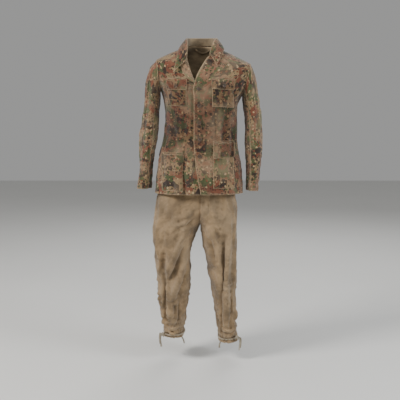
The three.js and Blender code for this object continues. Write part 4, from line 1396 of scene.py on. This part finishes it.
def collar():
    neck = np.array([10, -10, 0]) * MM
    seam, fold, edge = (np.array(table) * MM for table in (COLLAR_SEAM, COLLAR_FOLD, COLLAR_EDGE))

    def outward(points):
        away = (points - neck) * (1, 1, 0)
        return unit(away)

    down, across = shares(26, 170)
    low, high = spline(seam, across), spline(fold, across)
    points = high + (low - high) * (0.02 + 0.94 * down)[..., None]
    points = points + outward(points) * (-0.6 * MM)
    band, _ = sheet_of_cloth("collar_band", points, outward(points), 1.4, ["lining_cloth"])
    place_piece(band, ["collar_stand"])

    down, across = shares(44, 190)
    high, low = spline(fold, across), spline(edge, across)
    points = high + (low - high) * down[..., None]
    roll = np.sqrt(np.clip(1 - (1 - np.minimum(down / 0.14, 1)) ** 2, 0, 1))
    belly = 0.4 + 3.2 * roll + 3.6 * np.sin(math.pi * down) + 0.9 * np.sin(23 * across + 3 * down) * down
    points = points + outward(points) * (belly * MM)[..., None]
    points = points + np.array([0, 0, 2.2 * MM]) * (np.exp(-((down / 0.10) ** 2)))[..., None]
    lift = 3.4 + 2.2 * np.sin(math.pi * down) + 0.5 * np.sin(31 * across)
    points = clear_of_tunic(points, lift)
    leaf, area = sheet_of_cloth("collar_leaf_cloth", points, outward(points), 1.5, PRINTED)
    place_piece(leaf, ["collar_leaf"])
    rows, columns = points.shape[:2]
    round_, drop = np.gradient(points, axis=1), np.gradient(points, axis=0)
    normals = unit(np.cross(drop, round_))
    if (normals * outward(points)).sum() < 0:
        normals = -normals
    row = rows - 5
    lines = [(points[row, 4:-4] + normals[row, 4:-4] * 0.1 * MM, normals[row, 4:-4])]
    for column in (4, columns - 5):
        lines.append((points[4:row + 1, column] + normals[4:row + 1, column] * 0.1 * MM,
                      normals[4:row + 1, column]))
    sew("collar_stitches", lines)


def hanger():
    skin = tunic_skin()
    share = np.linspace(0, 1, 60)
    across = 12 + 34 * (2 * share - 1)
    height = -2 - 13 * np.sin(math.pi * share)
    angle = np.mod(math.pi - front_angle(across, height), TURN)
    line = skin.at(angle, -height, -3.2 - 4 * np.sin(math.pi * share))
    points, faces = ribbon(line, np.tile([0.0, 0.0, 1.0], (60, 1)), 7 * MM, 1.6 * MM)
    piece = new_object("hanging_loop", points, faces, ["lining_cloth"])
    simple_uv(piece)
    place_piece(piece, ["hanger_loop"])


def simple_uv(piece):
    """A flat layout for small folded pieces, in metres."""
    layer = piece.data.uv_layers.new(name="cloth")
    for loop in piece.data.loops:
        place = piece.data.vertices[loop.vertex_index].co
        layer.data[loop.index].uv = (place.x + 0.6 * place.y, place.z + 0.3 * place.y)


# ---- the sleeves


def sleeve_bend(side):
    """The name of a sleeve's body and two points out along its armhole's axis."""
    tip, pit, _, out = armhole(side)
    heart = (tip + pit) / 2
    return (f"{side}_sleeve", tuple(heart + out * 2 * MM), tuple(heart + out * 78 * MM))


def sleeve(side):
    skin, thickness = sleeve_skin(side), cloth_ply()
    seam = math.pi - UNDERSLEEVE
    bend = sleeve_bend(side)
    for part, start, end, columns in (("topsleeve", -seam, seam, 110),
                                      ("undersleeve", seam, TURN - seam, 52)):
        down, across = shares(170, columns)
        depth = skin.down(0, 1, down)
        angle = skin.angles(start, end, across)
        from_seam = np.minimum(across, 1 - across) * columns * 2.3
        cuff = (1 - depth) * SLEEVE_LENGTH
        head = 2.0 * np.exp(-((depth * SLEEVE_LENGTH / 6) ** 2))
        lift = edge_roll(from_seam) + hem_step(cuff, CUFF_HEM) + head * 0.5 + 0.4
        lay(f"{side}_{part}_cloth", skin, angle, depth, lift, thickness,
            PRINTED, nodes=[f"{side}_{part}"],
            bends_to=bend)
    down, across = shares(18, 120)
    depth = 1 - (0.6 + (CUFF_HEM - 1) * (1 - down)) / SLEEVE_LENGTH
    lay(f"{side}_cuff_lining", skin, across * TURN, depth, -thickness - 0.5, 0.7, ("lining_cloth",),
        nodes=[f"{side}_cuff_hem"], bends_to=bend)
    share = np.linspace(0, 1, 260)
    cuff_line = skin_line(skin, share * TURN, 1 - (CUFF_HEM - STITCH_IN) / SLEEVE_LENGTH, 0.5)
    seams = [skin_line(skin, sign * seam - sign * 0.05, skin.down(0.03, 1, share), 0.5) for sign in (1, -1)]
    sew(f"{side}_sleeve_stitches", [cuff_line, *seams], bends_to=bend)


# ---- pockets, flaps and buttons


def flap_frame(name):
    """The hinge of a flap: its place and direction, read from the frame's joint."""
    joint = next(joint for joint in frame["joints"] if joint["child"] == f"{name}_flap_body")
    return np.array(joint["pos_m"], float), unit(np.array(joint["axis"], float))


def pocket_grid(plan, rows, columns):
    """Angles and depths of a pocket's place, from its mouth down, and distances to its edges."""
    down, across = shares(rows, columns)
    height = plan["top"] + (plan["bottom"] - plan["top"]) * down
    start, end = plan["sides"]
    point_across = start + (end - start) * across
    width, length = end - start, plan["top"] - plan["bottom"]
    to_side = np.minimum(across, 1 - across) * width
    return down, across, front_angle(point_across, height), -height, to_side, (1 - down) * length


def pocket_lift(plan, to_side, to_bottom, to_top):
    """A patch pocket stands off the cloth: turned edges, a belly, and a mouth that gapes a little."""
    near = np.minimum(to_side, to_bottom)
    belly = smoothstep(0, 42, to_side) * smoothstep(0, 60, to_bottom)
    groove = -0.55 * np.exp(-(((near - POCKET_STITCH_IN) / 1.2) ** 2))
    rim = 1.9 * (1 - np.exp(-((near + 0.4) / 1.4)))
    mouth = 1.4 * smoothstep(24, 0, to_top) * smoothstep(0, 20, to_side)
    return 1.0 + rim + groove + plan["puff"] * belly + mouth


def pocket(name, plan):
    skin, thickness = tunic_skin(), cloth_ply()
    down, across, angle, depth, to_side, to_bottom = pocket_grid(plan, 74, 56)
    to_top = down * (plan["top"] - plan["bottom"])
    ripple = 0.8 * np.sin(0.09 * depth + 3 * across)
    lift = (pocket_lift(plan, to_side, to_bottom, to_top)
            + ripple * smoothstep(4, 30, np.minimum(to_side, to_bottom)))
    lay(f"{name}_patch_pocket", skin, angle, depth, lift, thickness, PRINTED,
        nodes=[f"{name}_pocket"])
    share = np.linspace(0, 1, 160)
    start, end = plan["sides"]
    start, end = start + POCKET_STITCH_IN, end - POCKET_STITCH_IN

    def line(across_at, height):
        across_at, height = (np.broadcast_to(value, share.shape) for value in (across_at, height))
        return skin_line(skin, front_angle(across_at, height), -height, 2.55)

    top, bottom = plan["top"] - 3, plan["bottom"] + POCKET_STITCH_IN
    run = top + (bottom - top) * share
    sew(f"{name}_pocket_stitches",
        [line(start, run), line(end, run), line(start + (end - start) * share, bottom)])


def buttonhole(name, line, out, bends_to=None):
    """A worked buttonhole: a raised ring of thread along the line."""
    points, faces = ribbon(line, out, 1.0 * MM, 1.5 * MM)
    place_piece(new_object(name, points, faces, ["dark_thread"]), (), bends_to=bends_to)


def flap(name, plan):
    """A flap sewn on above the pocket's mouth, with rounded corners and a bound buttonhole."""
    skin, thickness = tunic_skin(), cloth_ply()
    start, end = plan["sides"]
    start, end = start - FLAP_OVERHANG, end + FLAP_OVERHANG
    width, length = end - start, FLAP_RISE + plan["flap"]
    down, across = shares(52, 60)
    side = np.minimum(across, 1 - across) * width
    into_corner = np.clip(FLAP_CORNER - side, 0, None)
    corner = FLAP_CORNER - np.sqrt(np.clip(FLAP_CORNER**2 - into_corner**2, 0, None))
    drop = down * (length - corner)
    height = plan["top"] + FLAP_RISE - drop
    point_across = start + (end - start) * across
    angle = front_angle(point_across, height)
    near = np.minimum(side, np.maximum(length - corner - drop, 0))
    under = smoothstep(FLAP_RISE - 3, FLAP_RISE + 8, drop)
    gape = smoothstep(0.2, 1, down)
    lift = (1.4 + under * (4.6 + 0.75 * plan["puff"] * smoothstep(0, 40, side))
            + 1.6 * gape * smoothstep(30, 0, side))
    for row in FLAP_STITCH_ROWS:
        lift = lift - 0.5 * np.exp(-(((near - row) / 1.1) ** 2))
    lift = lift + 0.9 * np.sin(0.07 * point_across + 4 * down) * gape
    place, axis = flap_frame(name)
    foot = np.array(float(plan["bottom"]))
    hang = unit(skin.at(front_angle((start + end) / 2, foot), -foot) - place)
    hang = unit(hang - axis * (hang @ axis))
    bend = (f"{name}_flap_body", tuple(place + hang * 0.5 * MM), tuple(place + hang * 9 * MM))
    points = skin.at(angle, -height, lift)
    normals = skin.normal(angle, -height)
    cloth, _ = sheet_of_cloth(f"{name}_pocket_flap", points, normals, thickness, PRINTED)
    place_piece(cloth, [f"{name}_flap"], bends_to=bend)

    def read(down_at, across_at, rise):
        """The point and the normal at shares of the way down and across the flap, raised by rise."""
        down_at, across_at = np.broadcast_arrays(down_at, across_at)
        rows, columns = points.shape[:2]
        row, column = down_at * (rows - 1), across_at * (columns - 1)
        low_row = np.minimum(row.astype(int), rows - 2)
        low_column = np.minimum(column.astype(int), columns - 2)
        t, s = (row - low_row)[..., None], (column - low_column)[..., None]
        above, below = (points[low_row + i, low_column] * (1 - s) + points[low_row + i, low_column + 1] * s
                        for i in (0, 1))
        out = normals[low_row, low_column]
        return above * (1 - t) + below * t + out * rise * MM, out

    share = np.linspace(0, 1, 90)
    lines = []
    for inset in FLAP_STITCH_ROWS:
        edge, foot = inset / width, 1 - inset / length
        run = 0.04 + (foot - 0.04) * share
        lines += [read(run, edge, 0.45), read(run, 1 - edge, 0.45),
                  read(foot, edge + (1 - 2 * edge) * share, 0.45)]
    lines.append(read(STITCH_IN / length, np.linspace(0.02, 0.98, 90), 0.45))
    sew(f"{name}_flap_stitches", lines, bends_to=bend)

    middle = (length - FLAP_BUTTON_UP) / length
    turn = np.linspace(0, TURN, 41)
    ring_down = middle + FLAP_HOLE / length * power(np.cos(turn), 0.6)
    ring_across = 0.5 + HOLE_WIDTH / width * np.sin(turn)
    buttonhole(f"{name}_buttonhole", *read(ring_down, ring_across, 0.35), bends_to=bend)
    return read(middle, 0.5, 0.0)


def button_mesh():
    """A dished button of radius 1 with a raised rim and four holes, standing on z = 0."""
    if "horn_button_mesh" in bpy.data.meshes:
        return bpy.data.meshes["horn_button_mesh"]
    profile = [(0, 0.0), (0.80, 0.0), (0.93, 0.05), (1.0, 0.14), (1.0, 0.20), (0.95, 0.275), (0.86, 0.30),
               (0.76, 0.285), (0.69, 0.235), (0.62, 0.205), (0.4, 0.19), (0, 0.185)]
    sides = 56
    turn = np.linspace(0, TURN, sides, endpoint=False)
    rings = [[(r * math.cos(a), r * math.sin(a), z) for a in turn] for r, z in profile[1:-1]]
    points = [point for ring in rings for point in ring] + [(0, 0, profile[0][1]), (0, 0, profile[-1][1])]
    faces = grid_faces(len(rings), sides, wraps=True)
    foot, head, last = len(points) - 2, len(points) - 1, (len(rings) - 1) * sides
    for k in range(sides):
        faces.append((foot, (k + 1) % sides, k))
        faces.append((last + k, last + (k + 1) % sides, head))
    body = new_object("horn_button_mesh", points, faces)
    for k in range(4):
        place = math.radians(45 + 90 * k)
        drill = []
        drill_faces = grid_faces(2, 14, wraps=True) + [tuple(range(14))[::-1], tuple(range(14, 28))]
        for z in (-0.2, 0.6):
            drill += [(0.2 * math.cos(place) + 0.082 * math.cos(TURN * j / 14),
                       0.2 * math.sin(place) + 0.082 * math.sin(TURN * j / 14), z) for j in range(14)]
        cutter = new_object("button_drill", drill, drill_faces)
        cut = body.modifiers.new("Hole", "BOOLEAN")
        cut.object, cut.operation, cut.solver = cutter, "DIFFERENCE", "EXACT"
        apply_modifiers(body)
        bpy.data.objects.remove(cutter)
    mesh = body.data
    mesh.name = "horn_button_mesh"
    bpy.data.objects.remove(body)
    return mesh


def sewn_button(name, node_name, spot, out, radius, tilt=0.0):
    """A button with the thread that crosses its holes and the shank that holds it off the cloth."""
    up = Vector(out)
    across = Vector((0, 0, 1)).cross(up).normalized()
    basis = Matrix((across, up.cross(across), up)).transposed().to_4x4()
    basis = basis @ Matrix.Rotation(tilt, 4, "Z") @ Matrix.Rotation(0.05 * math.sin(9 * tilt + 1), 4, "X")
    place = Matrix.Translation(Vector(spot)) @ basis
    mesh = button_mesh().copy()
    mesh.name = name
    mesh.materials.clear()
    mesh.materials.append(materials()["horn_button"])
    mesh.transform(place @ Matrix.Diagonal((radius * MM, radius * MM, radius * MM, 1)))
    mesh.shade_smooth()
    button = bpy.data.objects.new(name, mesh)
    bpy.context.scene.collection.objects.link(button)
    place_piece(button, [node_name])
    parts = []
    size = radius * MM
    for start, end in ((45, 225), (135, 315)):
        for shift in (-0.035, 0.035):
            a, b = (np.array([0.2 * math.cos(math.radians(t)), 0.2 * math.sin(math.radians(t)), 0]) * size
                    for t in (start, end))
            side = unit(np.cross(b - a, [0, 0, 1])) * shift * size
            share = np.linspace(0, 1, 12)
            line = a + (b - a) * share[:, None] + side
            line[:, 2] = (0.10 + 0.19 * np.sin(math.pi * share) ** 0.45) * size
            parts.append(ribbon(line, np.tile([0.0, 0.0, 1.0], (12, 1)), 0.07 * size, 0.07 * size))
    shank = np.stack([np.zeros(6), np.zeros(6), np.linspace(-0.24, 0.02, 6) * size], axis=1)
    parts.append(ribbon(shank, np.tile([1.0, 0.0, 0.0], (6, 1)), 0.42 * size, 0.42 * size))
    points, faces = join(parts)
    thread = new_object(f"{name}_thread", points, faces, ["dark_thread"])
    thread.data.transform(place)
    place_piece(thread, ())


def pockets():
    for index, (name, plan) in enumerate(POCKETS.items()):
        pocket(name, plan)
        spot, out = flap(name, plan)
        sewn_button(f"{name}_horn_button", f"{name}_button", spot + out * 1.5 * MM, out,
                    POCKET_BUTTON_RADIUS, tilt=0.4 + index)


def front_buttons():
    skin = tunic_skin()
    for index, height in enumerate(BUTTON_HEIGHTS):
        level = np.array(float(height))
        across = station(LEFT_EDGE, level)[0] + BUTTON_INSET
        spot, out = skin_line(skin, front_angle(across, level), -level, 3.0)
        sewn_button(f"front_horn_button_{index + 1}", f"front_button_{index + 1}", spot, out,
                    BUTTON_RADIUS, tilt=0.7 * index)
        turn = np.linspace(0, TURN, 41)
        hole_across = across + FRONT_HOLE * power(np.cos(turn), 0.6)
        hole_height = height + HOLE_WIDTH * np.sin(turn)
        line, normals = skin_line(skin, front_angle(hole_across, hole_height), -hole_height, 1.9)
        buttonhole(f"front_buttonhole_{index + 1}", line, normals)


# ---- the trousers


def leg_bend(side):
    """The name of a trouser leg's body and two points down the leg."""
    turn = SIDES[side]
    return (f"{side}_leg", (turn * 0.02, -0.003, -0.775), (turn * 0.09, -0.003, -0.94))


def trouser_half(side):
    skin, thickness = leg_skin(side), cloth_ply()
    hem, turn = HEMS[side], SIDES[side]
    bend = leg_bend(side)
    middle = [(Vector((CROTCH * MM, 0, 0)), Vector((-turn, 0, 0)), -9)]
    for face, start, end in (("front", -QUARTER, QUARTER), ("back", QUARTER, 3 * QUARTER)):
        down, across = shares(250, 104)
        depth = skin.down(-WAIST_TOP + WAISTBAND, -hem, down)
        angle = skin.angles(start, end, across)
        from_seam = np.minimum(across, 1 - across) * 240
        above = -hem - depth
        lift = edge_roll(from_seam, 2.2, 1.0) + hem_step(above, HEM_CASING) + 0.5
        lay(f"{side}_trouser_{face}", skin, angle, depth, lift, thickness, ("drill_cloth",),
            planes=middle, nodes=[f"{side}_seat_{face}", f"{side}_leg_{face}"], bends_to=bend)
    down, across = shares(16, 130)
    depth = -hem - 0.6 - (HEM_CASING - 1) * (1 - down)
    lay(f"{side}_hem_lining", skin, across * TURN, depth, -thickness - 0.4, 0.7, ("drill_cloth",),
        nodes=[f"{side}_hem_casing"], bends_to=bend)
    share = np.linspace(0, 1, 320)
    hem_line = skin_line(skin, share * TURN, -hem - HEM_CASING + STITCH_IN, 0.9)
    seams = [skin_line(skin, seam + 0.03, skin.down(860, -hem - 3, share), 0.4)
             for seam in (QUARTER, 3 * QUARTER)]
    sew(f"{side}_trouser_stitches", [hem_line, *seams], bends_to=bend)


def rise_seam():
    """The felled seam between the two trouser halves, from the waist to the crotch and up behind."""
    parts, stitches = [], []
    rows = np.linspace(-WAIST_TOP + WAISTBAND, -CROTCH_HEIGHT - 2, 90)
    for behind in (False, True):
        lines = []
        for side in SIDES:
            skin = leg_skin(side)
            shift = 4.5 * SIDES[side]
            angle = half_angle(side, CROTCH + shift, -rows, behind)
            lines.append(skin.at(angle, rows, 1.1))
        centre = (lines[0] + lines[1]) / 2
        outward = np.tile([0.0, 1.0 if behind else -1.0, 0.0], (len(rows), 1))
        centre = centre + outward * 0.4 * MM
        parts.append(ribbon(centre, lines[0] - lines[1], 10 * MM, 1.2 * MM))
        for shift in (-0.0032, 0.0032):
            stitches.append((centre + np.array([shift, 0, 0]) + outward * 0.7 * MM, outward))
    points, faces = join(parts)
    piece = new_object("rise_seam", points, faces, ["drill_cloth"])
    simple_uv(piece)
    place_piece(piece, ())
    sew("rise_seam_stitches", stitches)


def fly():
    """The fly's covered edge: a second layer beside the rise seam, with its curved stitching."""
    skin = leg_skin("left")
    down, across = shares(90, 22)
    height = WAIST_TOP - WAISTBAND - 2 - FLY_LENGTH * down
    width = FLY_WIDTH * (1 - smoothstep(0.78, 1.0, down) * 0.9)
    point_across = CROTCH + 5 + width * across
    angle = half_angle("left", point_across, height)
    lift = 1.6 - 0.8 * smoothstep(0.85, 1, across) - 0.4 * smoothstep(0.9, 1, down)
    lay("fly_cover", skin, angle, -height, lift, 1.0, ("drill_cloth",))
    share = np.linspace(0, 1, 200)
    level = WAIST_TOP - WAISTBAND - 4 - (FLY_LENGTH - 6) * share
    edge = CROTCH + 5 + FLY_WIDTH * (1 - smoothstep(0.76, 1.0, share) * 0.9) - 4
    line = skin_line(skin, half_angle("left", edge, level), -level, 2.0)
    sew("fly_stitches", [line])


def waistband():
    def skin_place(angle, depth):
        height = -np.asarray(depth, float)
        outer_left, _, front, back = station(HALVES["left"], height)
        outer_right = station(HALVES["right"], height)[0]
        middle, half_width = (outer_left + outer_right) / 2, (outer_left - outer_right) / 2
        across, along = round_place(middle, half_width, front, back, angle)
        return np.stack([across, along, height], axis=-1) * MM

    skin = Skin(skin_place, np.linspace(-WAIST_TOP - 8, -WAIST_TOP + WAISTBAND + 8, 20),
                even_angles(167, 100, TUNIC_ROUNDNESS, 120))
    down, across = shares(22, 200)
    fly_gap = math.radians(0.6)
    angle = fly_gap + (TURN - 2 * fly_gap) * across
    depth = -WAIST_TOP + WAISTBAND * down
    edge = np.minimum(down, 1 - down) * WAISTBAND
    lift = 0.7 - 0.5 * np.exp(-(((edge - 3) / 1.2) ** 2)) + 0.5 * np.sin(34 * angle) * np.sin(math.pi * down)
    lay("waistband_cloth", skin, angle, depth, lift, 2.0, ("drill_cloth",), nodes=["waistband"])
    turn = np.linspace(fly_gap + 0.02, TURN - fly_gap - 0.02, 700)
    lines = [skin_line(skin, turn, row, 0.5) for row in (-WAIST_TOP + 3, -WAIST_TOP + WAISTBAND - 3)]
    sew("waistband_stitches", lines)
    spot_angle, spot_depth = np.array(math.radians(-6)), np.array(-WAIST_TOP + WAISTBAND / 2)
    sewn_button("waist_horn_button", "waist_button", skin.at(spot_angle, spot_depth, 2.6),
                skin.normal(spot_angle, spot_depth), POCKET_BUTTON_RADIUS, tilt=0.3)


# ---- ankle tapes


def tape_ends():
    """The free ends of the ankle tapes, each a flat tape along its own route."""
    for name, route in TAPE_ENDS.items():
        side, corners = name.split("_")[0], np.array(route, float) * MM
        line = spline(corners, np.linspace(0, 1, 40))
        heart = np.array([SIDES[side] * 0.128, 0.0, 0.0])
        outward = unit((line - heart) * (1, 1, 0))
        flat = np.cross(outward, [0.0, 0.0, 1.0])
        twist = (1.0 + 0.5 * np.sin(np.linspace(0, 2.6, 40)))[:, None]
        flat = flat * np.cos(twist) + outward * np.sin(twist)
        points, faces = ribbon(line, flat, TAPE_WIDTH * MM, TAPE_PLY * MM)
        piece = new_object(f"{name}_cloth", points, faces, ["tape"])
        simple_uv(piece)
        place_piece(piece, [name], body=f"{side}_leg")
        tuple(corners[0])
        [tuple(point) for point in line]


def ankle_band(side):
    """The tape round a hem, drawn in over the cloth."""
    skin = leg_skin(side)
    down, across = shares(9, 220)
    angle = across * TURN
    depth = -HEMS[side] - TAPE_RISE + TAPE_WIDTH * (down - 0.5)
    edge = np.minimum(down, 1 - down) * TAPE_WIDTH
    lift = 2.6 + 0.3 * np.sin(40 * across * TURN) - 0.3 * np.exp(-((edge / 0.8) ** 2))
    normals = skin.normal(angle, depth)
    points = skin.place(angle, depth) + normals * (lift * MM)[..., None]
    band, _ = sheet_of_cloth(f"{side}_ankle_band", points, normals, TAPE_PLY, ["tape"])
    place_piece(band, [f"{side}_ankle_tape"], body=f"{side}_leg")


def ankle_bow(side):
    """The bow on the outer front of a hem: two hanging loops and the knot's turn round them."""
    skin, up = leg_skin(side), np.array([0, 0, 1])
    angle, depth = np.array(SIDES[side] * BOW_TURN), np.array(float(-HEMS[side] - TAPE_RISE))
    out = skin.normal(angle, depth)
    heart = skin.place(angle, depth) + out * 5.6 * MM + np.array([0, 0, 0.002])
    along = unit(np.cross([0, 0, 1], out))
    if along[1] > 0:
        along = -along
    ahead, behind = unit(along * 0.75 + out * 0.5), -unit(along * 0.5 - out * 0.05 + [0, 0, 0.1])
    parts = []
    half = np.linspace(0, 1, 44) * TURN / 2
    for way, reach, sag in ((ahead, 19, 5.5), (behind, 17, 8.0)):
        loop = (heart + way * (reach * MM * np.sin(half) ** 1.2)[:, None]
                + up * (6.2 * MM * np.sin(2 * half) - sag * MM * np.sin(half) ** 2)[:, None]
                + out * (2.4 * MM * np.sin(half) ** 2)[:, None])
        face = np.tile(np.array([0, 0, 0.8]) + 0.6 * out, (44, 1))
        parts.append(ribbon(loop, face, TAPE_WIDTH * MM * 0.82, TAPE_PLY * MM))
    wrap = np.linspace(0, TURN, 26)
    knot = (heart + up * (5.0 * MM * np.cos(wrap))[:, None] + out * (3.4 * MM * np.sin(wrap))[:, None])
    parts.append(ribbon(knot, np.tile(along, (26, 1)), TAPE_WIDTH * MM * 0.85, TAPE_PLY * MM * 1.2))
    bow = new_object(f"{side}_bow", *join(parts), ["tape"])
    simple_uv(bow)
    place_piece(bow, [f"{side}_ankle_bow"], body=f"{side}_leg")


def ankle_ties():
    for side in SIDES:
        ankle_band(side)
        ankle_bow(side)


# ---- stage and camera


def camera():
    view = bpy.data.cameras.new("camera")
    view.lens, view.sensor_width = 67.5, 36
    seen = bpy.data.objects.new("camera", view)
    seen.location = (0, -3.5, -0.28)
    seen.rotation_euler = (math.radians(90 - 6.9), 0, 0)
    bpy.context.scene.collection.objects.link(seen)
    bpy.context.scene.camera = seen


def stage():
    low = min(corner[2] for corner in cad_box)
    size, level = 9.0, low - 0.05
    floor = new_object("floor", [(-size, -size, level), (size, -size, level), (size, size, level),
                                 (-size, size, level)], [(0, 1, 2, 3)], ["studio_floor"])
    for name, place, energy, size_m, tint in (
            ("key_light", (-2.7, -1.7, 1.7), 150, 1.1, (1.0, 0.97, 0.93)),
            ("fill_light", (2.8, -1.5, 0.8), 70, 1.3, (0.96, 0.98, 1.0)),
            ("front_light", (0.3, -3.8, 1.4), 22, 1.6, (1.0, 1.0, 1.0)),
            ("back_light", (0.8, 3.2, 1.8), 60, 2.0, (1.0, 1.0, 1.0))):
        light = bpy.data.lights.new(name, "AREA")
        light.energy, light.size, light.color = energy, size_m, tint
        lamp = bpy.data.objects.new(name, light)
        lamp.location = place
        aim = Vector((0, 0, -0.65)) - Vector(place)
        lamp.rotation_euler = aim.to_track_quat("-Z", "Y").to_euler()
        bpy.context.scene.collection.objects.link(lamp)
    world = bpy.data.worlds.new("studio")
    world.use_nodes = True
    world.node_tree.nodes["Background"].inputs[0].default_value = (0.93, 0.93, 0.92, 1)
    world.node_tree.nodes["Background"].inputs[1].default_value = 0.36
    bpy.context.scene.world = world


# ---- add-on


def length_setting(name, description, default):
    return FloatProperty(name=name, description=description, default=default, min=0.0, unit="LENGTH",
                         subtype="DISTANCE")


def colour_setting(name, description, default):
    return FloatVectorProperty(name=name, description=description, default=default, size=3, min=0.0, max=1.0,
                               subtype="COLOR_GAMMA")


class SuitSizes(bpy.types.PropertyGroup):
    """Sizes of the suit that a user may change."""

    cloth: length_setting("Cloth", "Thickness of the main cloth", 0.0013)
    stitch_length: length_setting("Stitch", "Length of one stitch", 0.0026)
    stitch_pitch: length_setting("Stitch pitch", "Distance from one stitch to the next", 0.0036)


class SuitColours(bpy.types.PropertyGroup):
    """Colours of the suit that a user may change."""

    tan: colour_setting("Tan", "Ground of the print", (0.53, 0.44, 0.31))
    rose: colour_setting("Rose", "Warmer ground of the print", (0.48, 0.35, 0.26))
    brown: colour_setting("Brown", "Dark dots of the print", (0.17, 0.12, 0.085))
    green: colour_setting("Green", "Green dots of the print", (0.27, 0.30, 0.17))
    russet: colour_setting("Russet", "Red-brown dots of the print", (0.43, 0.24, 0.16))
    pale: colour_setting("Pale", "Light dots of the print", (0.64, 0.55, 0.41))
    drill: colour_setting("Drill", "Trouser cloth", (0.61, 0.51, 0.38))
    lining: colour_setting("Lining", "Unprinted side and facings", (0.68, 0.60, 0.48))
    tape: colour_setting("Tape", "Ankle tapes", (0.80, 0.76, 0.68))
    button: colour_setting("Button", "Horn buttons", (0.30, 0.23, 0.17))
    thread: colour_setting("Thread", "Sewing thread", (0.58, 0.50, 0.38))
    dust: colour_setting("Dust", "Faded and dusty cloth", (0.66, 0.57, 0.45))
    floor: colour_setting("Floor", "Studio floor", (0.86, 0.86, 0.85))


class SUIT_OT_camera(bpy.types.Operator):
    """Set the camera in front of the suit"""

    bl_idname = "suit.camera"
    bl_label = "Camera"

    def execute(self, context):
        camera()
        return {"FINISHED"}


class SUIT_OT_tape_ends(bpy.types.Operator):
    """Lay the free ends of the ankle tapes"""

    bl_idname = "suit.tape_ends"
    bl_label = "Tape Ends"

    def execute(self, context):
        tape_ends()
        return {"FINISHED"}


class SUIT_OT_tunic(bpy.types.Operator):
    """Hang the tunic's back and fronts, with their facings and lapel"""

    bl_idname = "suit.tunic"
    bl_label = "Tunic Body"

    def execute(self, context):
        back_panel()
        left_front()
        right_front()
        facings()
        lapel()
        return {"FINISHED"}


class SUIT_OT_collar(bpy.types.Operator):
    """Turn down the collar over its band and sew in the hanging loop"""

    bl_idname = "suit.collar"
    bl_label = "Collar"

    def execute(self, context):
        collar()
        hanger()
        return {"FINISHED"}


class SUIT_OT_sleeves(bpy.types.Operator):
    """Hang both sleeves from their armholes"""

    bl_idname = "suit.sleeves"
    bl_label = "Sleeves"

    def execute(self, context):
        for side in SIDES:
            sleeve(side)
        return {"FINISHED"}


class SUIT_OT_pockets(bpy.types.Operator):
    """Sew on the four patch pockets with their flaps and buttons"""

    bl_idname = "suit.pockets"
    bl_label = "Pockets"

    def execute(self, context):
        pockets()
        return {"FINISHED"}


class SUIT_OT_front_buttons(bpy.types.Operator):
    """Sew on the buttons of the front closure"""

    bl_idname = "suit.front_buttons"
    bl_label = "Front Buttons"

    def execute(self, context):
        front_buttons()
        return {"FINISHED"}


class SUIT_OT_trousers(bpy.types.Operator):
    """Hang the trouser halves, sew their seams and add the waistband"""

    bl_idname = "suit.trousers"
    bl_label = "Trousers"

    def execute(self, context):
        for side in SIDES:
            trouser_half(side)
        rise_seam()
        fly()
        waistband()
        return {"FINISHED"}


class SUIT_OT_ankle_ties(bpy.types.Operator):
    """Tie the hems with tape and bows"""

    bl_idname = "suit.ankle_ties"
    bl_label = "Ankle Ties"

    def execute(self, context):
        ankle_ties()
        return {"FINISHED"}


class SUIT_OT_stage(bpy.types.Operator):
    """Set the pale floor and the soft studio light"""

    bl_idname = "suit.stage"
    bl_label = "Stage"

    def execute(self, context):
        stage()
        return {"FINISHED"}


class SUIT_PT_panel(bpy.types.Panel):
    """Sidebar panel with the suit's pieces and settings"""

    bl_idname = "SUIT_PT_panel"
    bl_label = "Field Suit"
    bl_space_type = "VIEW_3D"
    bl_region_type = "UI"
    bl_category = "Suit"

    def draw(self, context):
        layout = self.layout
        for operator in OPERATORS:
            layout.operator(operator.bl_idname)
        for settings in (context.scene.suit_sizes, context.scene.suit_colours):
            for name in settings.__annotations__:
                layout.prop(settings, name)


OPERATORS = (
    SUIT_OT_camera, SUIT_OT_tape_ends, SUIT_OT_tunic, SUIT_OT_collar, SUIT_OT_sleeves, SUIT_OT_pockets,
    SUIT_OT_front_buttons, SUIT_OT_trousers, SUIT_OT_ankle_ties, SUIT_OT_stage,
)


def register():
    for kind in (SuitSizes, SuitColours, *OPERATORS, SUIT_PT_panel):
        bpy.utils.register_class(kind)
    bpy.types.Scene.suit_sizes = PointerProperty(type=SuitSizes)
    bpy.types.Scene.suit_colours = PointerProperty(type=SuitColours)


def unregister():
    del bpy.types.Scene.suit_colours
    del bpy.types.Scene.suit_sizes
    for kind in (SUIT_PT_panel, *reversed(OPERATORS), SuitColours, SuitSizes):
        bpy.utils.unregister_class(kind)


def main():
    register()
    for operator in OPERATORS:
        group, name = operator.bl_idname.split(".")
        getattr(getattr(bpy.ops, group), name)()


if __name__ == "__main__":
    main()
